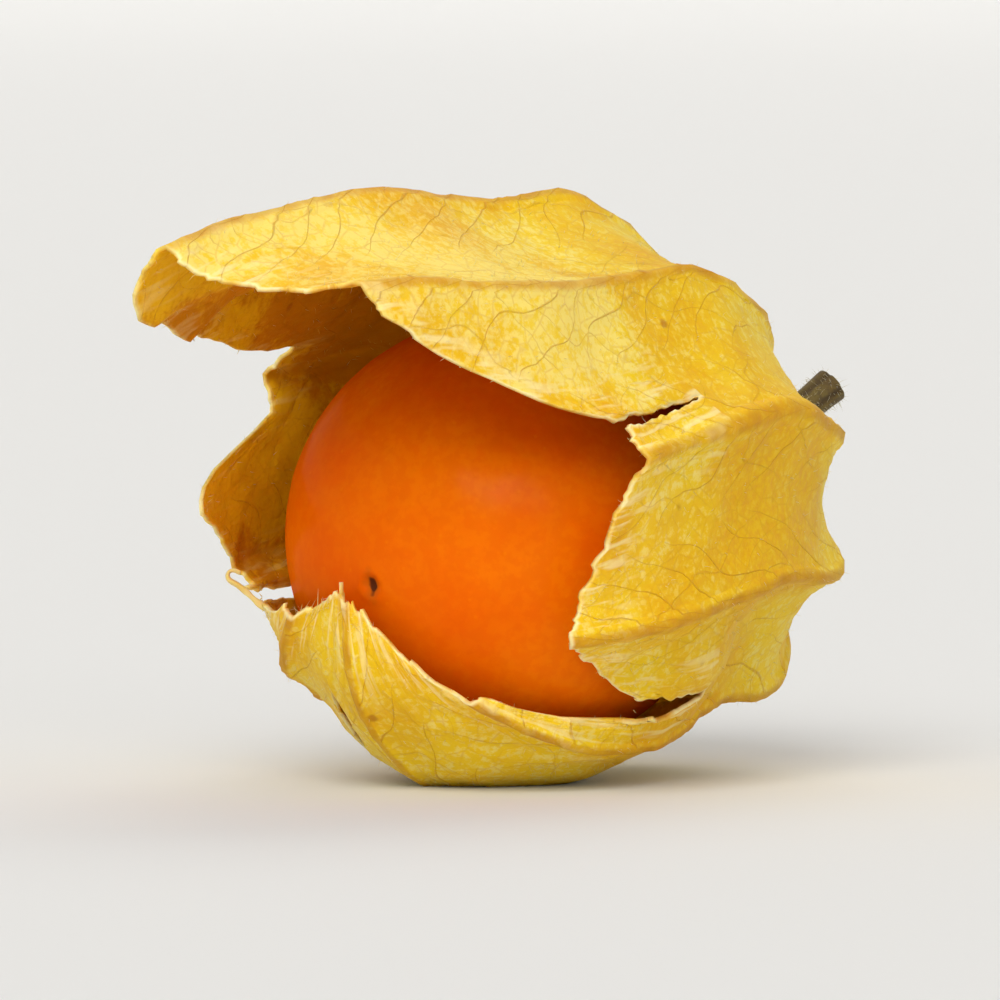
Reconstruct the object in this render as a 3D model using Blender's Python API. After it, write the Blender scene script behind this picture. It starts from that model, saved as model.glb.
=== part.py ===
"""A physalis berry in its papery husk, lying on its side with the husk torn open.

Metres, +Z up. The origin is on the surface the fruit lies on, straight below the middle of the
berry, and the husk's mouth looks towards -Y and -X.

Pieces: husk (five sepals grown into one lantern), berry, stem.
"""
import math

import bmesh
import bpy
from mathutils import Vector, noise

MM = 0.001
SHARP_FROM = math.radians(50)       # edges that turn more than this stay sharp

# The fruit's lie
FRUIT_YAW = math.radians(38.4)      # its axis, base to tip, turned from -Y towards -X
FRUIT_DROP = math.radians(10.1)     # how far the tip end hangs below level
BERRY_HEIGHT = 11.45 * MM           # middle of the berry above the surface

# Berry
BERRY_RADIUS = 10.4 * MM
BERRY_LENGTHENING = 0.985           # along the axis, against across it
DIMPLE_DEPTH = 0.9 * MM
DIMPLE_SPREAD = math.radians(13)
SCAR_DEPTH = 0.25 * MM
SCAR_SPREAD = math.radians(3.0)
BERRY_COLUMNS = 30
BERRY_ROWS = 19
BERRY_ROWS_CROWD = 0.35             # how much its rows crowd towards the tip and the base

# Stem
STEM_RADIUS = 0.70 * MM
STEM_CUT_RADIUS = 0.86 * MM
RECEPTACLE_RADIUS = 1.30 * MM
RECEPTACLE_FACE = 10.25 * MM        # from the middle of the berry, back along the axis
RECEPTACLE_BACK = 10.85 * MM
RECEPTACLE_EDGE = 0.15 * MM         # length in which its face rounds off
RECEPTACLE_ROUNDING = 0.82          # radius of its face, part of its full radius
NECK_END = 11.30 * MM
STEM_STRAIGHT = 14.5 * MM
STEM_LENGTH = 24.5 * MM
STEM_BEND = math.radians(34)
STEM_BEND_TOWARDS = 38.0            # degrees round the axis, from the top towards the near side
STEM_FLARES_FROM = 0.6              # part of its bent length from which it widens towards its cut
STEM_GROOVE = 0.06                  # depth of its grooves, part of the radius
STEM_SIDES = 12
STEM_STEPS = 16

# Husk: sizes
HUSK_HALF_THICKNESS = 0.32 * MM
HOLE_RADIUS = 1.08 * MM
HOLE_SETBACK = 11.95 * MM           # husk's hole behind the middle of the berry
LEAST_RADIUS = 0.4 * MM             # the wall never comes nearer to the axis
HUSK_RAISED = 2.4 * MM              # middle of the husk above the berry's axis
RAISED_BEHIND = 1.5 * MM            # it starts to climb there this far behind the hole
RAISED_OVER = 9.0 * MM              # and climbs in this length
BERRY_CLEARANCE = 0.45 * MM
CLEAR_RADIUS = BERRY_RADIUS + BERRY_CLEARANCE + HUSK_HALF_THICKNESS
HUGGING_REACH = 1.2 * MM            # within this of the berry the crumples only lift
HUGGING_LIFT = 0.5                  # and by this part of their depth more

# Husk: slope of its wall along its length, (length from the hole in mm, degrees from the axis)
CLOSED_SLOPE = ((0, 128), (3, 122), (5.6, 92), (8, 63), (11, 34), (15, 12), (20, 0),
                (25, -14), (30, -45), (35, -78), (40, -92), (48, -92))
OPEN_SLOPE = ((0, 128), (3, 122), (5.6, 92), (8, 63), (11, 34), (15, 12), (20, 4),
              (25, 12), (31, 13), (38, 4), (48, -12))

# Husk: length of the outlines in mm, and their step
LONGEST = 50
OUTLINE_STEP = 0.25

# Husk: how far each side of the mouth is laid open, (degrees round the axis from the top, 0 to 1)
OPENED = ((0, 1.0), (45, 0.95), (67, 0.82), (111, 0.60), (138, 0.50), (150, 0.10), (165, 0.0),
          (228, 0.0), (246, 0.20), (264, 0.44), (284, 0.48), (302, 0.66), (330, 0.74), (347, 0.90))

# Husk: outline of its torn rim, (degrees round the axis from the top, length from the hole in mm)
RIM = ((5, 46.5), (17, 44.6), (30, 43.0), (46, 40.6), (55, 37.5), (62, 33.5), (68, 29.8),
       (72, 28.9), (86, 30.6), (113, 33.2), (122, 30.6), (137, 25.9), (141.5, 26.4), (146, 32.4),
       (156, 34.6), (169, 36.6), (187, 37.8), (207, 37.0), (230, 35.0), (245, 31.2), (257, 29.8),
       (268, 32.4), (275, 34.2), (279, 33.6), (283, 28.6), (287, 24.8), (302, 24.8), (307, 27.8),
       (316, 33.0), (329, 38.6), (344, 43.2), (356, 46.9))
RAGGED = 0.42 * MM
RAGGED_WAVES = ((11.0, 1.0, 0.3), (26.0, 0.6, 0.8))     # (fineness, share, where the noise is read)

# Husk: the long top lobe narrows towards its tip
TOP_LOBE_TIP = 0.0                  # degrees round the axis
TOP_LOBE_EDGES = (-58.0, 70.0)
TOP_LOBE_NARROWS_FROM = 29.0        # length from the hole in mm
TOP_LOBE_NARROWS_TO = 47.0
TOP_LOBE_NARROWING = 0.34

# Husk: ribs, net, and crumples
RIBS = 10
FIRST_RIB = 5.0
RIBS_FULL_FROM = 5.0                # mm from the hole at which ribs and panes are at full height
PANE_SINK = 0.085                   # how far the panes sink between ribs, part of the radius
SHOULDER_SINK = 0.07                # and how much more at the shoulder
SHOULDER = (7.5, 3.5)               # where that is, and its spread, in mm from the hole
RIB_HEIGHT = 0.52 * MM
RIB_HEIGHT_MINOR = 0.36 * MM
RIB_FLANK = 0.25                    # part of its height beside a rib
VEIN_HEIGHT = 0.17 * MM
VEIN_EVERY = 5
VEINS_NEED = 9.0                    # mm of wall in front of the even rows
CRUMPLES = ((9.5 * MM, 0.50 * MM), (4.2 * MM, 0.22 * MM))   # (size, depth)
CRUMPLE_SEED = Vector((3.1, 7.7, 1.9))
CRUMPLES_FROM = 4.0                 # mm from the hole at which they start
CRUMPLES_OVER = 9.0                 # mm in which they reach full depth
NEAR_DEGREES = 0.7                  # the wall's slant is taken this far to either side
NEAR_MM = 0.3

# Husk: tears, (degrees, first row, last row or 0 for the rim, half width, lift of the far side)
TEARS = ((70.6, 14, 0, 0.30 * MM, 0.35 * MM), (139.4, 13, 0, 0.45 * MM, 0.45 * MM),
         (199.4, 17, 20, 0.50 * MM, 0.0), (247.4, 15, 0, 0.40 * MM, 0.55 * MM))
TEAR_LEAST_RADIUS = 2.0 * MM        # a tear's width counts as on a circle of at least this radius

# Husk: grid of its wall
COLUMNS = 100
SPARSE_ROWS = ((0.0, 25), (1.5, 25), (3.0, 50), (4.6, 50), (6.2, 100))   # (mm from the hole, columns)
EVEN_ROWS = 8
EVEN_TO = 21.0
STRETCHED_ROWS = 11

# Finishes: (name, colour, roughness)
HUSK_FINISH = ("dry husk", (0.78, 0.52, 0.10), 0.62)
BERRY_FINISH = ("berry skin", (0.90, 0.22, 0.005), 0.24)
STEM_FINISH = ("stem skin", (0.23, 0.17, 0.06), 0.75)

AXIS = Vector((-math.sin(FRUIT_YAW) * math.cos(FRUIT_DROP),
               -math.cos(FRUIT_YAW) * math.cos(FRUIT_DROP),
               -math.sin(FRUIT_DROP)))
SIDE = Vector((math.cos(FRUIT_YAW), -math.sin(FRUIT_YAW), 0.0))
TOP = AXIS.cross(SIDE)
BERRY_MIDDLE = Vector((0.0, 0.0, BERRY_HEIGHT))


def clear_scene():
    """Removes every object of the scene."""
    for item in list(bpy.data.objects):
        bpy.data.objects.remove(item, do_unlink=True)


def principled(name, colour, roughness):
    """A plain material with a colour and a roughness."""
    material = bpy.data.materials.new(name)
    material.use_nodes = True
    shader = material.node_tree.nodes["Principled BSDF"]
    shader.inputs["Base Color"].default_value = (*colour, 1.0)
    shader.inputs["Roughness"].default_value = roughness
    shader.inputs["Metallic"].default_value = 0.0
    return material


def add_object(name, points, faces, material):
    """A smooth-shaded object from points and faces."""
    mesh = bpy.data.meshes.new(name)
    mesh.from_pydata([tuple(p) for p in points], [], faces)
    mesh.validate()
    mesh.materials.append(material)
    mesh.shade_smooth()
    mesh.set_sharp_from_angle(angle=SHARP_FROM)
    thing = bpy.data.objects.new(name, mesh)
    bpy.context.scene.collection.objects.link(thing)
    return thing


def around(angle):
    """Direction out from the axis at an angle in degrees from the top towards the near side."""
    turn = math.radians(angle)
    return TOP * math.cos(turn) + SIDE * math.sin(turn)


def smooth(value):
    """0 to 1 with level ends."""
    value = min(1.0, max(0.0, value))
    return value * value * (3.0 - 2.0 * value)


def along(table, at):
    """Value of a table of (place, value) pairs, eased between its points."""
    for (x0, y0), (x1, y1) in zip(table, table[1:]):
        if at <= x1:
            return y0 + (y1 - y0) * smooth((at - x0) / (x1 - x0))
    return table[-1][1]


def round_table(table, angle, straight=False):
    """Value of a table of (degrees, value) pairs that closes on itself."""
    first, last = table[0], table[-1]
    closed = ((last[0] - 360.0, last[1]),) + tuple(table) + ((first[0] + 360.0, first[1]),)
    angle %= 360.0
    for (x0, y0), (x1, y1) in zip(closed, closed[1:]):
        if x0 <= angle <= x1:
            part = (angle - x0) / (x1 - x0)
            return y0 + (y1 - y0) * (part if straight else smooth(part))
    raise ValueError(angle)


def signed(angle):
    """An angle in degrees between -180 and 180."""
    return (angle + 180.0) % 360.0 - 180.0


class Husk:
    """The husk's wall as a rule: angle round the axis and length from the hole give a point."""

    def __init__(self):
        """Starts with no outlines worked out."""
        self.profiles = {}

    def profile(self, opened):
        """Points (behind or ahead, out from the axis) of the outline for a share of opening."""
        key = round(opened, 4)
        if key not in self.profiles:
            ahead, out = -HOLE_SETBACK, HOLE_RADIUS
            points = [(ahead, out)]
            for step in range(int(LONGEST / OUTLINE_STEP)):
                place = (step + 0.5) * OUTLINE_STEP
                shut = along(CLOSED_SLOPE, place)
                wide = along(OPEN_SLOPE, place)
                slope = math.radians(shut + (wide - shut) * opened)
                ahead += math.cos(slope) * OUTLINE_STEP * MM
                out = max(LEAST_RADIUS, out + math.sin(slope) * OUTLINE_STEP * MM)
                points.append((ahead, out))
            self.profiles[key] = points
        return self.profiles[key]

    def meridian(self, angle, length):
        """(ahead, out) at an angle and a length in mm."""
        points = self.profile(round_table(OPENED, angle))
        place = length / OUTLINE_STEP
        index = min(int(place), len(points) - 2)
        part = place - index
        (a0, o0), (a1, o1) = points[index], points[index + 1]
        return a0 + (a1 - a0) * part, o0 + (o1 - o0) * part

    @staticmethod
    def narrowed(angle, length):
        """The angle at which the ribs of the top lobe really run, drawn in towards its tip."""
        from_tip = signed(angle - TOP_LOBE_TIP)
        if not TOP_LOBE_EDGES[0] < from_tip < TOP_LOBE_EDGES[1]:
            return angle
        reach = (length - TOP_LOBE_NARROWS_FROM) / (TOP_LOBE_NARROWS_TO - TOP_LOBE_NARROWS_FROM)
        return TOP_LOBE_TIP + from_tip * (1.0 - TOP_LOBE_NARROWING * smooth(reach))

    @staticmethod
    def pane(angle, length):
        """Part of the radius left: 1 on a rib, less between ribs."""
        half = 180.0 / RIBS
        from_middle = (angle - FIRST_RIB) % (2 * half) - half
        flat = math.cos(math.radians(half)) / math.cos(math.radians(from_middle))
        full = 1.0 - math.cos(math.radians(half))
        place, spread = SHOULDER
        sink = PANE_SINK + SHOULDER_SINK * math.exp(-((length - place) / spread) ** 2)
        return 1.0 - (1.0 - flat) * sink / full

    def bare(self, angle, length):
        """Point of the wall without ribs and crumples."""
        ahead, out = self.meridian(angle, length)
        spread = smooth((ahead + HOLE_SETBACK + RAISED_BEHIND) / RAISED_OVER)
        pane = 1.0 + (self.pane(angle, length) - 1.0) * smooth(length / RIBS_FULL_FROM)
        middle = BERRY_MIDDLE + AXIS * ahead + TOP * (HUSK_RAISED * spread)
        return middle + around(self.narrowed(angle, length)) * (out * pane)

    def outward(self, angle, length):
        """Direction out of the bare wall."""
        here = self.bare(angle + NEAR_DEGREES, length) - self.bare(angle - NEAR_DEGREES, length)
        ahead = self.bare(angle, length + NEAR_MM) - self.bare(angle, max(0.0, length - NEAR_MM))
        return ahead.cross(here).normalized()

    def point(self, angle, length, raised):
        """Point of the wall's middle skin, crumpled, raised and clear of the berry."""
        spot = self.bare(angle, length)
        away = spot - BERRY_MIDDLE
        hugging = smooth((CLEAR_RADIUS + HUGGING_REACH - away.length) / HUGGING_REACH)
        if away.length < CLEAR_RADIUS:
            spot = BERRY_MIDDLE + away.normalized() * CLEAR_RADIUS
        lift = 0.0
        free = smooth((length - CRUMPLES_FROM) / CRUMPLES_OVER)
        for index, (size, depth) in enumerate(CRUMPLES):
            wave = noise.noise(spot / size + CRUMPLE_SEED * (index + 1))
            lift += free * depth * (wave + hugging * HUGGING_LIFT)
        outward = self.outward(angle, length).lerp(away.normalized(), hugging).normalized()
        spot = spot + outward * (lift + raised)
        away = spot - BERRY_MIDDLE
        if away.length < CLEAR_RADIUS:
            spot = BERRY_MIDDLE + away.normalized() * CLEAR_RADIUS
        return spot


def rim_length(angle):
    """Length in mm from the hole to the torn rim, with its ragged edge."""
    turn = math.radians(angle)
    ragged = 0.0
    for fineness, share, height in RAGGED_WAVES:
        ragged += share * noise.noise(Vector((math.cos(turn), math.sin(turn), height)) * fineness)
    return round_table(RIM, angle, straight=True) + ragged * RAGGED / MM


def relief(column, row, room):
    """Height of the ribs and of the net at a grid point, with less net where rows crowd."""
    per_rib = COLUMNS // RIBS
    from_rib = (column + per_rib // 2) % per_rib - per_rib // 2
    rib = (column + per_rib // 2) // per_rib % RIBS
    height = RIB_HEIGHT if rib % 2 == 0 else RIB_HEIGHT_MINOR
    if from_rib == 0:
        return height
    if abs(from_rib) == 1:
        return height * RIB_FLANK
    vein = VEIN_HEIGHT * smooth(room / VEINS_NEED)
    return vein if (row - abs(from_rib) + rib) % VEIN_EVERY == 0 else 0.0


class Skin:
    """The grid of the husk's middle skin: its points, its triangles, and its torn columns."""

    def __init__(self):
        """Builds the whole grid."""
        self.husk = Husk()
        self.points = []
        self.faces = []
        self.rows = []
        self.tears = {self.nearest(angle): (first, last, half, lift)
                      for angle, first, last, half, lift in TEARS}
        self.build()

    @staticmethod
    def nearest(angle):
        """Column nearest an angle."""
        return round((angle - FIRST_RIB) / 360.0 * COLUMNS) % COLUMNS

    def row_lengths(self, angle):
        """(length, columns) of each row at an angle."""
        start = SPARSE_ROWS[-1][0]
        lengths = [(length, columns) for length, columns in SPARSE_ROWS]
        lengths += [(start + (EVEN_TO - start) * k / EVEN_ROWS, COLUMNS)
                    for k in range(1, EVEN_ROWS + 1)]
        end = rim_length(angle)
        lengths += [(EVEN_TO + (end - EVEN_TO) * k / STRETCHED_ROWS, COLUMNS)
                    for k in range(1, STRETCHED_ROWS + 1)]
        return lengths

    def add(self, angle, length, raised, aside=0.0):
        """Adds a point, moved aside by a length along the rim, and returns its number."""
        if aside:
            out = max(TEAR_LEAST_RADIUS, self.husk.meridian(angle, length)[1])
            angle += math.degrees(aside / out)
        self.points.append(self.husk.point(angle, length, raised))
        return len(self.points) - 1

    def build(self):
        """Fills the grid, with two points at each place where a column is torn."""
        total = len(self.row_lengths(0.0))
        for row in range(total):
            columns = self.row_lengths(0.0)[row][1]
            step = COLUMNS // columns
            line = []
            for column in range(0, COLUMNS, step):
                angle = FIRST_RIB + 360.0 * column / COLUMNS
                length = self.row_lengths(angle)[row][0]
                raised = relief(column, row, rim_length(angle) - EVEN_TO)
                raised *= smooth(length / RIBS_FULL_FROM)
                first, last, half, lift = self.tears.get(column, (total, 0, 0.0, 0.0))
                stop = last or total
                if first < row < stop:
                    part = (row - first) / (stop - first)
                    wide = half * (math.sin(math.pi * part) if last else math.sqrt(part))
                    line.append((self.add(angle, length, raised, -wide),
                                 self.add(angle, length, raised + lift * part, wide)))
                else:
                    one = self.add(angle, length, raised)
                    line.append((one, one))
            self.rows.append(line)
        for lower, upper in zip(self.rows, self.rows[1:]):
            if len(lower) == len(upper):
                self.even_band(lower, upper)
            else:
                self.doubling_band(lower, upper)

    def even_band(self, lower, upper):
        """Two triangles a cell, split along the veins, which lean away from each rib."""
        count = len(lower)
        per_rib = count // RIBS
        for j in range(count):
            a, b = lower[j][1], lower[(j + 1) % count][0]
            c, d = upper[(j + 1) % count][0], upper[j][1]
            leaning = j % per_rib < per_rib // 2
            if leaning:
                self.faces += [(a, c, b), (a, d, c)]
            else:
                self.faces += [(a, d, b), (b, d, c)]

    def doubling_band(self, lower, upper):
        """Three triangles a cell, from a row to one with twice the columns."""
        count = len(lower)
        for j in range(count):
            a, b = lower[j][1], lower[(j + 1) % count][0]
            c, m, d = upper[(2 * j + 2) % len(upper)][0], upper[2 * j + 1][0], upper[2 * j][1]
            self.faces += [(a, d, m), (a, m, b), (b, m, c)]


def thicken(points, faces, half):
    """Both faces of a skin, split alike, and the walls along its open edges."""
    work = bmesh.new()
    verts = [work.verts.new(p) for p in points]
    for face in faces:
        work.faces.new([verts[i] for i in face])
    work.normal_update()
    normals = [v.normal.copy() for v in verts]
    work.verts.index_update()
    edges = []
    for edge in work.edges:
        if len(edge.link_faces) == 1:
            loop = edge.link_loops[0]
            edges.append((loop.vert.index, loop.link_loop_next.vert.index))
    work.free()
    count = len(points)
    outer = [p + n * half for p, n in zip(points, normals)]
    inner = [p - n * half for p, n in zip(points, normals)]
    solid = [tuple(f) for f in faces]
    solid += [tuple(reversed([i + count for i in f])) for f in faces]
    for a, b in edges:
        solid += [(b, a, a + count), (b, a + count, b + count)]
    return outer, inner, solid


def build_husk(material):
    """The husk: a thin crumpled lantern, torn open, with a flat spot where it lies."""
    skin = Skin()
    outer, inner, faces = thicken(skin.points, skin.faces, HUSK_HALF_THICKNESS)
    for point in outer:
        point.z = max(point.z, 0.0)
    for point in inner:
        point.z = max(point.z, 2.0 * HUSK_HALF_THICKNESS)
    return add_object("husk", outer + inner, faces, material)


def berry_radius(from_tip):
    """Radius of the berry at an angle from its tip."""
    round_part = math.hypot(math.sin(from_tip), math.cos(from_tip) * BERRY_LENGTHENING)
    dimple = DIMPLE_DEPTH * math.exp(-((math.pi - from_tip) / DIMPLE_SPREAD) ** 2)
    scar = SCAR_DEPTH * math.exp(-(from_tip / SCAR_SPREAD) ** 2)
    return BERRY_RADIUS * round_part - dimple - scar


def build_berry(material):
    """The round fruit, with the scar at its tip and the dimple at its base."""
    points = []
    for row in range(1, BERRY_ROWS):
        even = row / BERRY_ROWS
        crowd = BERRY_ROWS_CROWD * math.sin(2 * math.pi * even) / (2 * math.pi)
        from_tip = math.pi * (even - crowd)
        radius = berry_radius(from_tip)
        for column in range(BERRY_COLUMNS):
            turn = 360.0 * (column + 0.5 * (row % 2)) / BERRY_COLUMNS
            points.append(BERRY_MIDDLE + AXIS * (radius * math.cos(from_tip))
                          + around(turn) * (radius * math.sin(from_tip)))
    tip, base = len(points), len(points) + 1
    points.append(BERRY_MIDDLE + AXIS * berry_radius(0.0))
    points.append(BERRY_MIDDLE - AXIS * berry_radius(math.pi))
    faces = []
    n = BERRY_COLUMNS
    for column in range(n):
        ahead = (column + 1) % n
        faces.append((tip, ahead, column))
        low = (BERRY_ROWS - 2) * n
        faces.append((base, low + column, low + ahead))
    for row in range(BERRY_ROWS - 2):
        for column in range(n):
            a, b = row * n + column, row * n + (column + 1) % n
            c, d = a + n, b + n
            if row % 2:
                faces += [(a, b, c), (b, d, c)]
            else:
                faces += [(a, d, c), (a, b, d)]
    return add_object("berry", points, faces, material)


def stem_path():
    """Points, directions and radii along the stem, from the berry's dimple to the cut."""
    rings = [(RECEPTACLE_FACE, RECEPTACLE_RADIUS * RECEPTACLE_ROUNDING),
             (RECEPTACLE_FACE + RECEPTACLE_EDGE, RECEPTACLE_RADIUS),
             (RECEPTACLE_BACK, RECEPTACLE_RADIUS),
             (NECK_END, STEM_RADIUS)]
    path = [(BERRY_MIDDLE - AXIS * back, -AXIS, radius) for back, radius in rings]
    spot = BERRY_MIDDLE - AXIS * STEM_STRAIGHT
    path.append((spot, -AXIS, STEM_RADIUS))
    bend_to = around(STEM_BEND_TOWARDS)
    step = (STEM_LENGTH - STEM_STRAIGHT) / STEM_STEPS
    for index in range(1, STEM_STEPS + 1):
        part = index / STEM_STEPS
        turn = STEM_BEND * smooth(part)
        heading = -AXIS * math.cos(turn) + bend_to * math.sin(turn)
        spot = spot + heading * step
        flare = smooth((part - STEM_FLARES_FROM) / (1.0 - STEM_FLARES_FROM))
        radius = STEM_RADIUS + (STEM_CUT_RADIUS - STEM_RADIUS) * flare
        path.append((spot, heading, radius))
    return path


def build_stem(material):
    """The fruit stalk, a tube with closed ends and shallow grooves."""
    points = []
    path = stem_path()
    for spot, heading, radius in path:
        across = heading.cross(SIDE).normalized()
        beside = across.cross(heading).normalized()
        for side in range(STEM_SIDES):
            turn = 2 * math.pi * side / STEM_SIDES
            grooved = radius * (1.0 - STEM_GROOVE * (side % 2))
            out = across * math.cos(turn) + beside * math.sin(turn)
            points.append(spot + out * grooved)
    n = STEM_SIDES
    faces = []
    for ring in range(len(path) - 1):
        for side in range(n):
            a, b = ring * n + side, ring * n + (side + 1) % n
            faces.append((b, a, a + n))
            faces.append((b, a + n, b + n))
    start, end = len(points), len(points) + 1
    points += [path[0][0], path[-1][0]]
    last = (len(path) - 1) * n
    for side in range(n):
        ahead = (side + 1) % n
        faces.append((start, side, ahead))
        faces.append((end, last + ahead, last + side))
    return add_object("stem", points, faces, material)


def main():
    """Builds the three pieces."""
    clear_scene()
    build_husk(principled(*HUSK_FINISH))
    build_berry(principled(*BERRY_FINISH))
    build_stem(principled(*STEM_FINISH))


main()
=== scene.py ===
"""A physalis berry in its torn papery husk, lying on a pale floor under soft light.

Metres, +Z up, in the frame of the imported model. The husk's own places are given as an angle round
the fruit's axis (0 at the top, 90 at the near right side) and a length in mm along the wall from the
hole that the stem runs through.
"""
from __future__ import annotations

import logging
import math
from abc import ABC, abstractmethod
from dataclasses import dataclass, field
from enum import Enum

import bpy
import numpy as np
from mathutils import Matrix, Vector, noise


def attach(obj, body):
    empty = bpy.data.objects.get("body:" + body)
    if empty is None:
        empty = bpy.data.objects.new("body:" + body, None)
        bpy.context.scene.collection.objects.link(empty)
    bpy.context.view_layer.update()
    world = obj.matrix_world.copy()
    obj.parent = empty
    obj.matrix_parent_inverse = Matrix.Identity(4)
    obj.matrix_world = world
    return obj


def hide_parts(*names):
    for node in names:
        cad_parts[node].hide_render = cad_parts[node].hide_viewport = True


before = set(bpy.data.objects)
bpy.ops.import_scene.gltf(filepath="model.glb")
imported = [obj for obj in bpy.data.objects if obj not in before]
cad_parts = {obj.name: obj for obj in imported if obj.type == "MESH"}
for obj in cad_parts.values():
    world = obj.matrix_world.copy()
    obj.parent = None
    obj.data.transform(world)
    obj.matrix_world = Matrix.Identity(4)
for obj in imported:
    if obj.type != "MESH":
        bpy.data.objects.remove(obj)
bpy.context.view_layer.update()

MM = 0.001
TINY = 1e-12
WELL_OFF = 9.0
Array = np.ndarray
Colour = tuple[float, float, float]
Seed = tuple[float, float, float]
Table = tuple[tuple[float, float], ...]
Faces = list[tuple[int, ...]]
Material = bpy.types.Material
Object = bpy.types.Object
Socket = bpy.types.NodeSocket
Feed = Socket | float | tuple[float, ...]

# Grain size, strength and seed of a layer of noise.
Layer = tuple[float, float, Seed]

# Size of cloudy noise, in the unit of its places, and where they aren't 2, 0.5 and 0, the number
# of its finer layers, their strength, and how much it is drawn out into swirls.
Clouds = tuple[float, ...]

# Height of a bump in metres, and the part of it that shows.
Bump = tuple[float, float]

# Two limits of a reading and, unless they are 0 and 1, the results at them and beyond.
Span = tuple[float, ...]

log = logging.getLogger("physalis")


class Slot(Enum):
    """The material slots."""

    HUSK = "dry_husk"
    BERRY = "berry_skin"
    STEM = "stem_skin"


class Sum(Enum):
    """What a sum on numbers does."""

    ADD = "ADD"
    TAKE = "SUBTRACT"
    TIMES = "MULTIPLY"
    SHARE = "DIVIDE"
    LARGER = "MAXIMUM"
    SIZE = "ABSOLUTE"
    PART = "FRACT"


class Cells(Enum):
    """What is read from irregular cells."""

    OFF_MIDDLE = "F1"
    OFF_EDGE = "DISTANCE_TO_EDGE"


def smooth(value: Array | float) -> Array | float:
    """Eases a value from 0 to 1 with level ends.

    Args:
        value: Any numbers, where what lies outside 0 to 1 is held to it.

    Returns:
        The eased numbers.
    """
    held = np.clip(value, 0.0, 1.0)
    return held * held * (3.0 - 2.0 * held)


def eased(table: Table, at: Array) -> Array:
    """Reads a table of (place, value) pairs, eased between its places.

    Args:
        table: The pairs, in rising order of place.
        at: The places to read.

    Returns:
        The values there.
    """
    places, values = np.array(table).T
    index = np.clip(np.searchsorted(places, at) - 1, 0, len(places) - 2)
    part = (at - places[index]) / (places[index + 1] - places[index])
    return values[index] + (values[index + 1] - values[index]) * smooth(part)


def closed(table: Table) -> Table:
    """Closes a table of (degrees, value) pairs on itself, for angles from 0 to 360."""
    first, last = table[0], table[-1]
    return ((last[0] - 360.0, last[1]), *table, (first[0] + 360.0, first[1]))


def signed(angle: Array) -> Array:
    """Brings angles in degrees to between -180 and 180."""
    return (angle + 180.0) % 360.0 - 180.0


def unit(vectors: Array) -> Array:
    """Scales vectors, along the last axis, to length 1."""
    return vectors / np.maximum(np.linalg.norm(vectors, axis=-1, keepdims=True), TINY)


def bell(off: Array, width: float) -> Array:
    """A smooth hump of height 1 where off is 0, that falls to about a third at a width."""
    return np.exp(-(off / width) ** 2)


def evenly_round(count: int) -> Array:
    """Angles in radians of places evenly round a circle."""
    return 2 * np.pi * np.arange(count) / count


def grain(points: Array, size: float, seed: Seed) -> Array:
    """Smooth noise in space.

    Args:
        points: Places, three numbers each along the last axis.
        size: Size of the noise's grain, in the unit of the points.
        seed: Shift that picks this noise.

    Returns:
        Numbers between about -1 and 1, one a place.
    """
    places = points.reshape(-1, 3) / size + np.array(seed)
    return np.array([noise.noise(Vector(place)) for place in places]).reshape(points.shape[:-1])


def layered(points: Array, layers: tuple[Layer, ...]) -> Array:
    """Adds up layers of smooth noise.

    Args:
        points: Places, three numbers each along the last axis.
        layers: Grain size, strength and seed of each layer.

    Returns:
        Numbers, one a place.
    """
    return sum(strength * grain(points, size, seed) for size, strength, seed in layers)


def ring_faces(rings: int, sides: int, inward: bool) -> Faces:
    """Faces of a skin laid round rings of points and closed by one point at each end.

    Args:
        rings: Number of rings. Their points come first, ring by ring, then the first ring's
            closing point and the last one's.
        sides: Points on a ring.
        inward: Whether the rings run the other way round as seen from outside.

    Returns:
        Point numbers of each face.
    """
    last, closing = (rings - 1) * sides, rings * sides
    faces: Faces = []
    for side in range(sides):
        near, far = side, (side + 1) % sides
        if inward:
            near, far = far, near
        faces += [(ring + near, ring + far, ring + sides + far, ring + sides + near)
                  for ring in range(0, last, sides)]
        faces.append((last + near, last + far, closing + 1))
        faces.append((far, near, closing))
    return faces


@dataclass(frozen=True)
class FruitLie:
    """How the fruit lies on the floor."""

    yaw: float = math.radians(38.4)
    drop: float = math.radians(10.1)
    middle_height: float = 11.45 * MM

    @property
    def axis(self) -> Array:
        """Direction from the fruit's base to its tip."""
        level = math.cos(self.drop)
        return np.array([-math.sin(self.yaw) * level, -math.cos(self.yaw) * level, -math.sin(self.drop)])

    @property
    def side(self) -> Array:
        """Level direction across the axis, to the near right side."""
        return np.array([math.cos(self.yaw), -math.sin(self.yaw), 0.0])

    @property
    def top(self) -> Array:
        """Direction across the axis, upwards."""
        return np.cross(self.axis, self.side)

    @property
    def middle(self) -> Array:
        """Middle of the berry."""
        return np.array([0.0, 0.0, self.middle_height])

    def around(self, degrees: Array | float) -> Array:
        """Directions out from the axis.

        Args:
            degrees: Angles from the top towards the near right side.

        Returns:
            Unit vectors, one an angle.
        """
        turn = np.radians(np.asarray(degrees, dtype=float))[..., None]
        return self.top * np.cos(turn) + self.side * np.sin(turn)


def placed(name: str, data: bpy.types.ID) -> Object:
    """Puts an object with a mesh, a light or a camera into the scene.

    Args:
        name: Its name.
        data: What it holds.

    Returns:
        The object.
    """
    thing = bpy.data.objects.new(name, data)
    bpy.context.scene.collection.objects.link(thing)
    return thing


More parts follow.
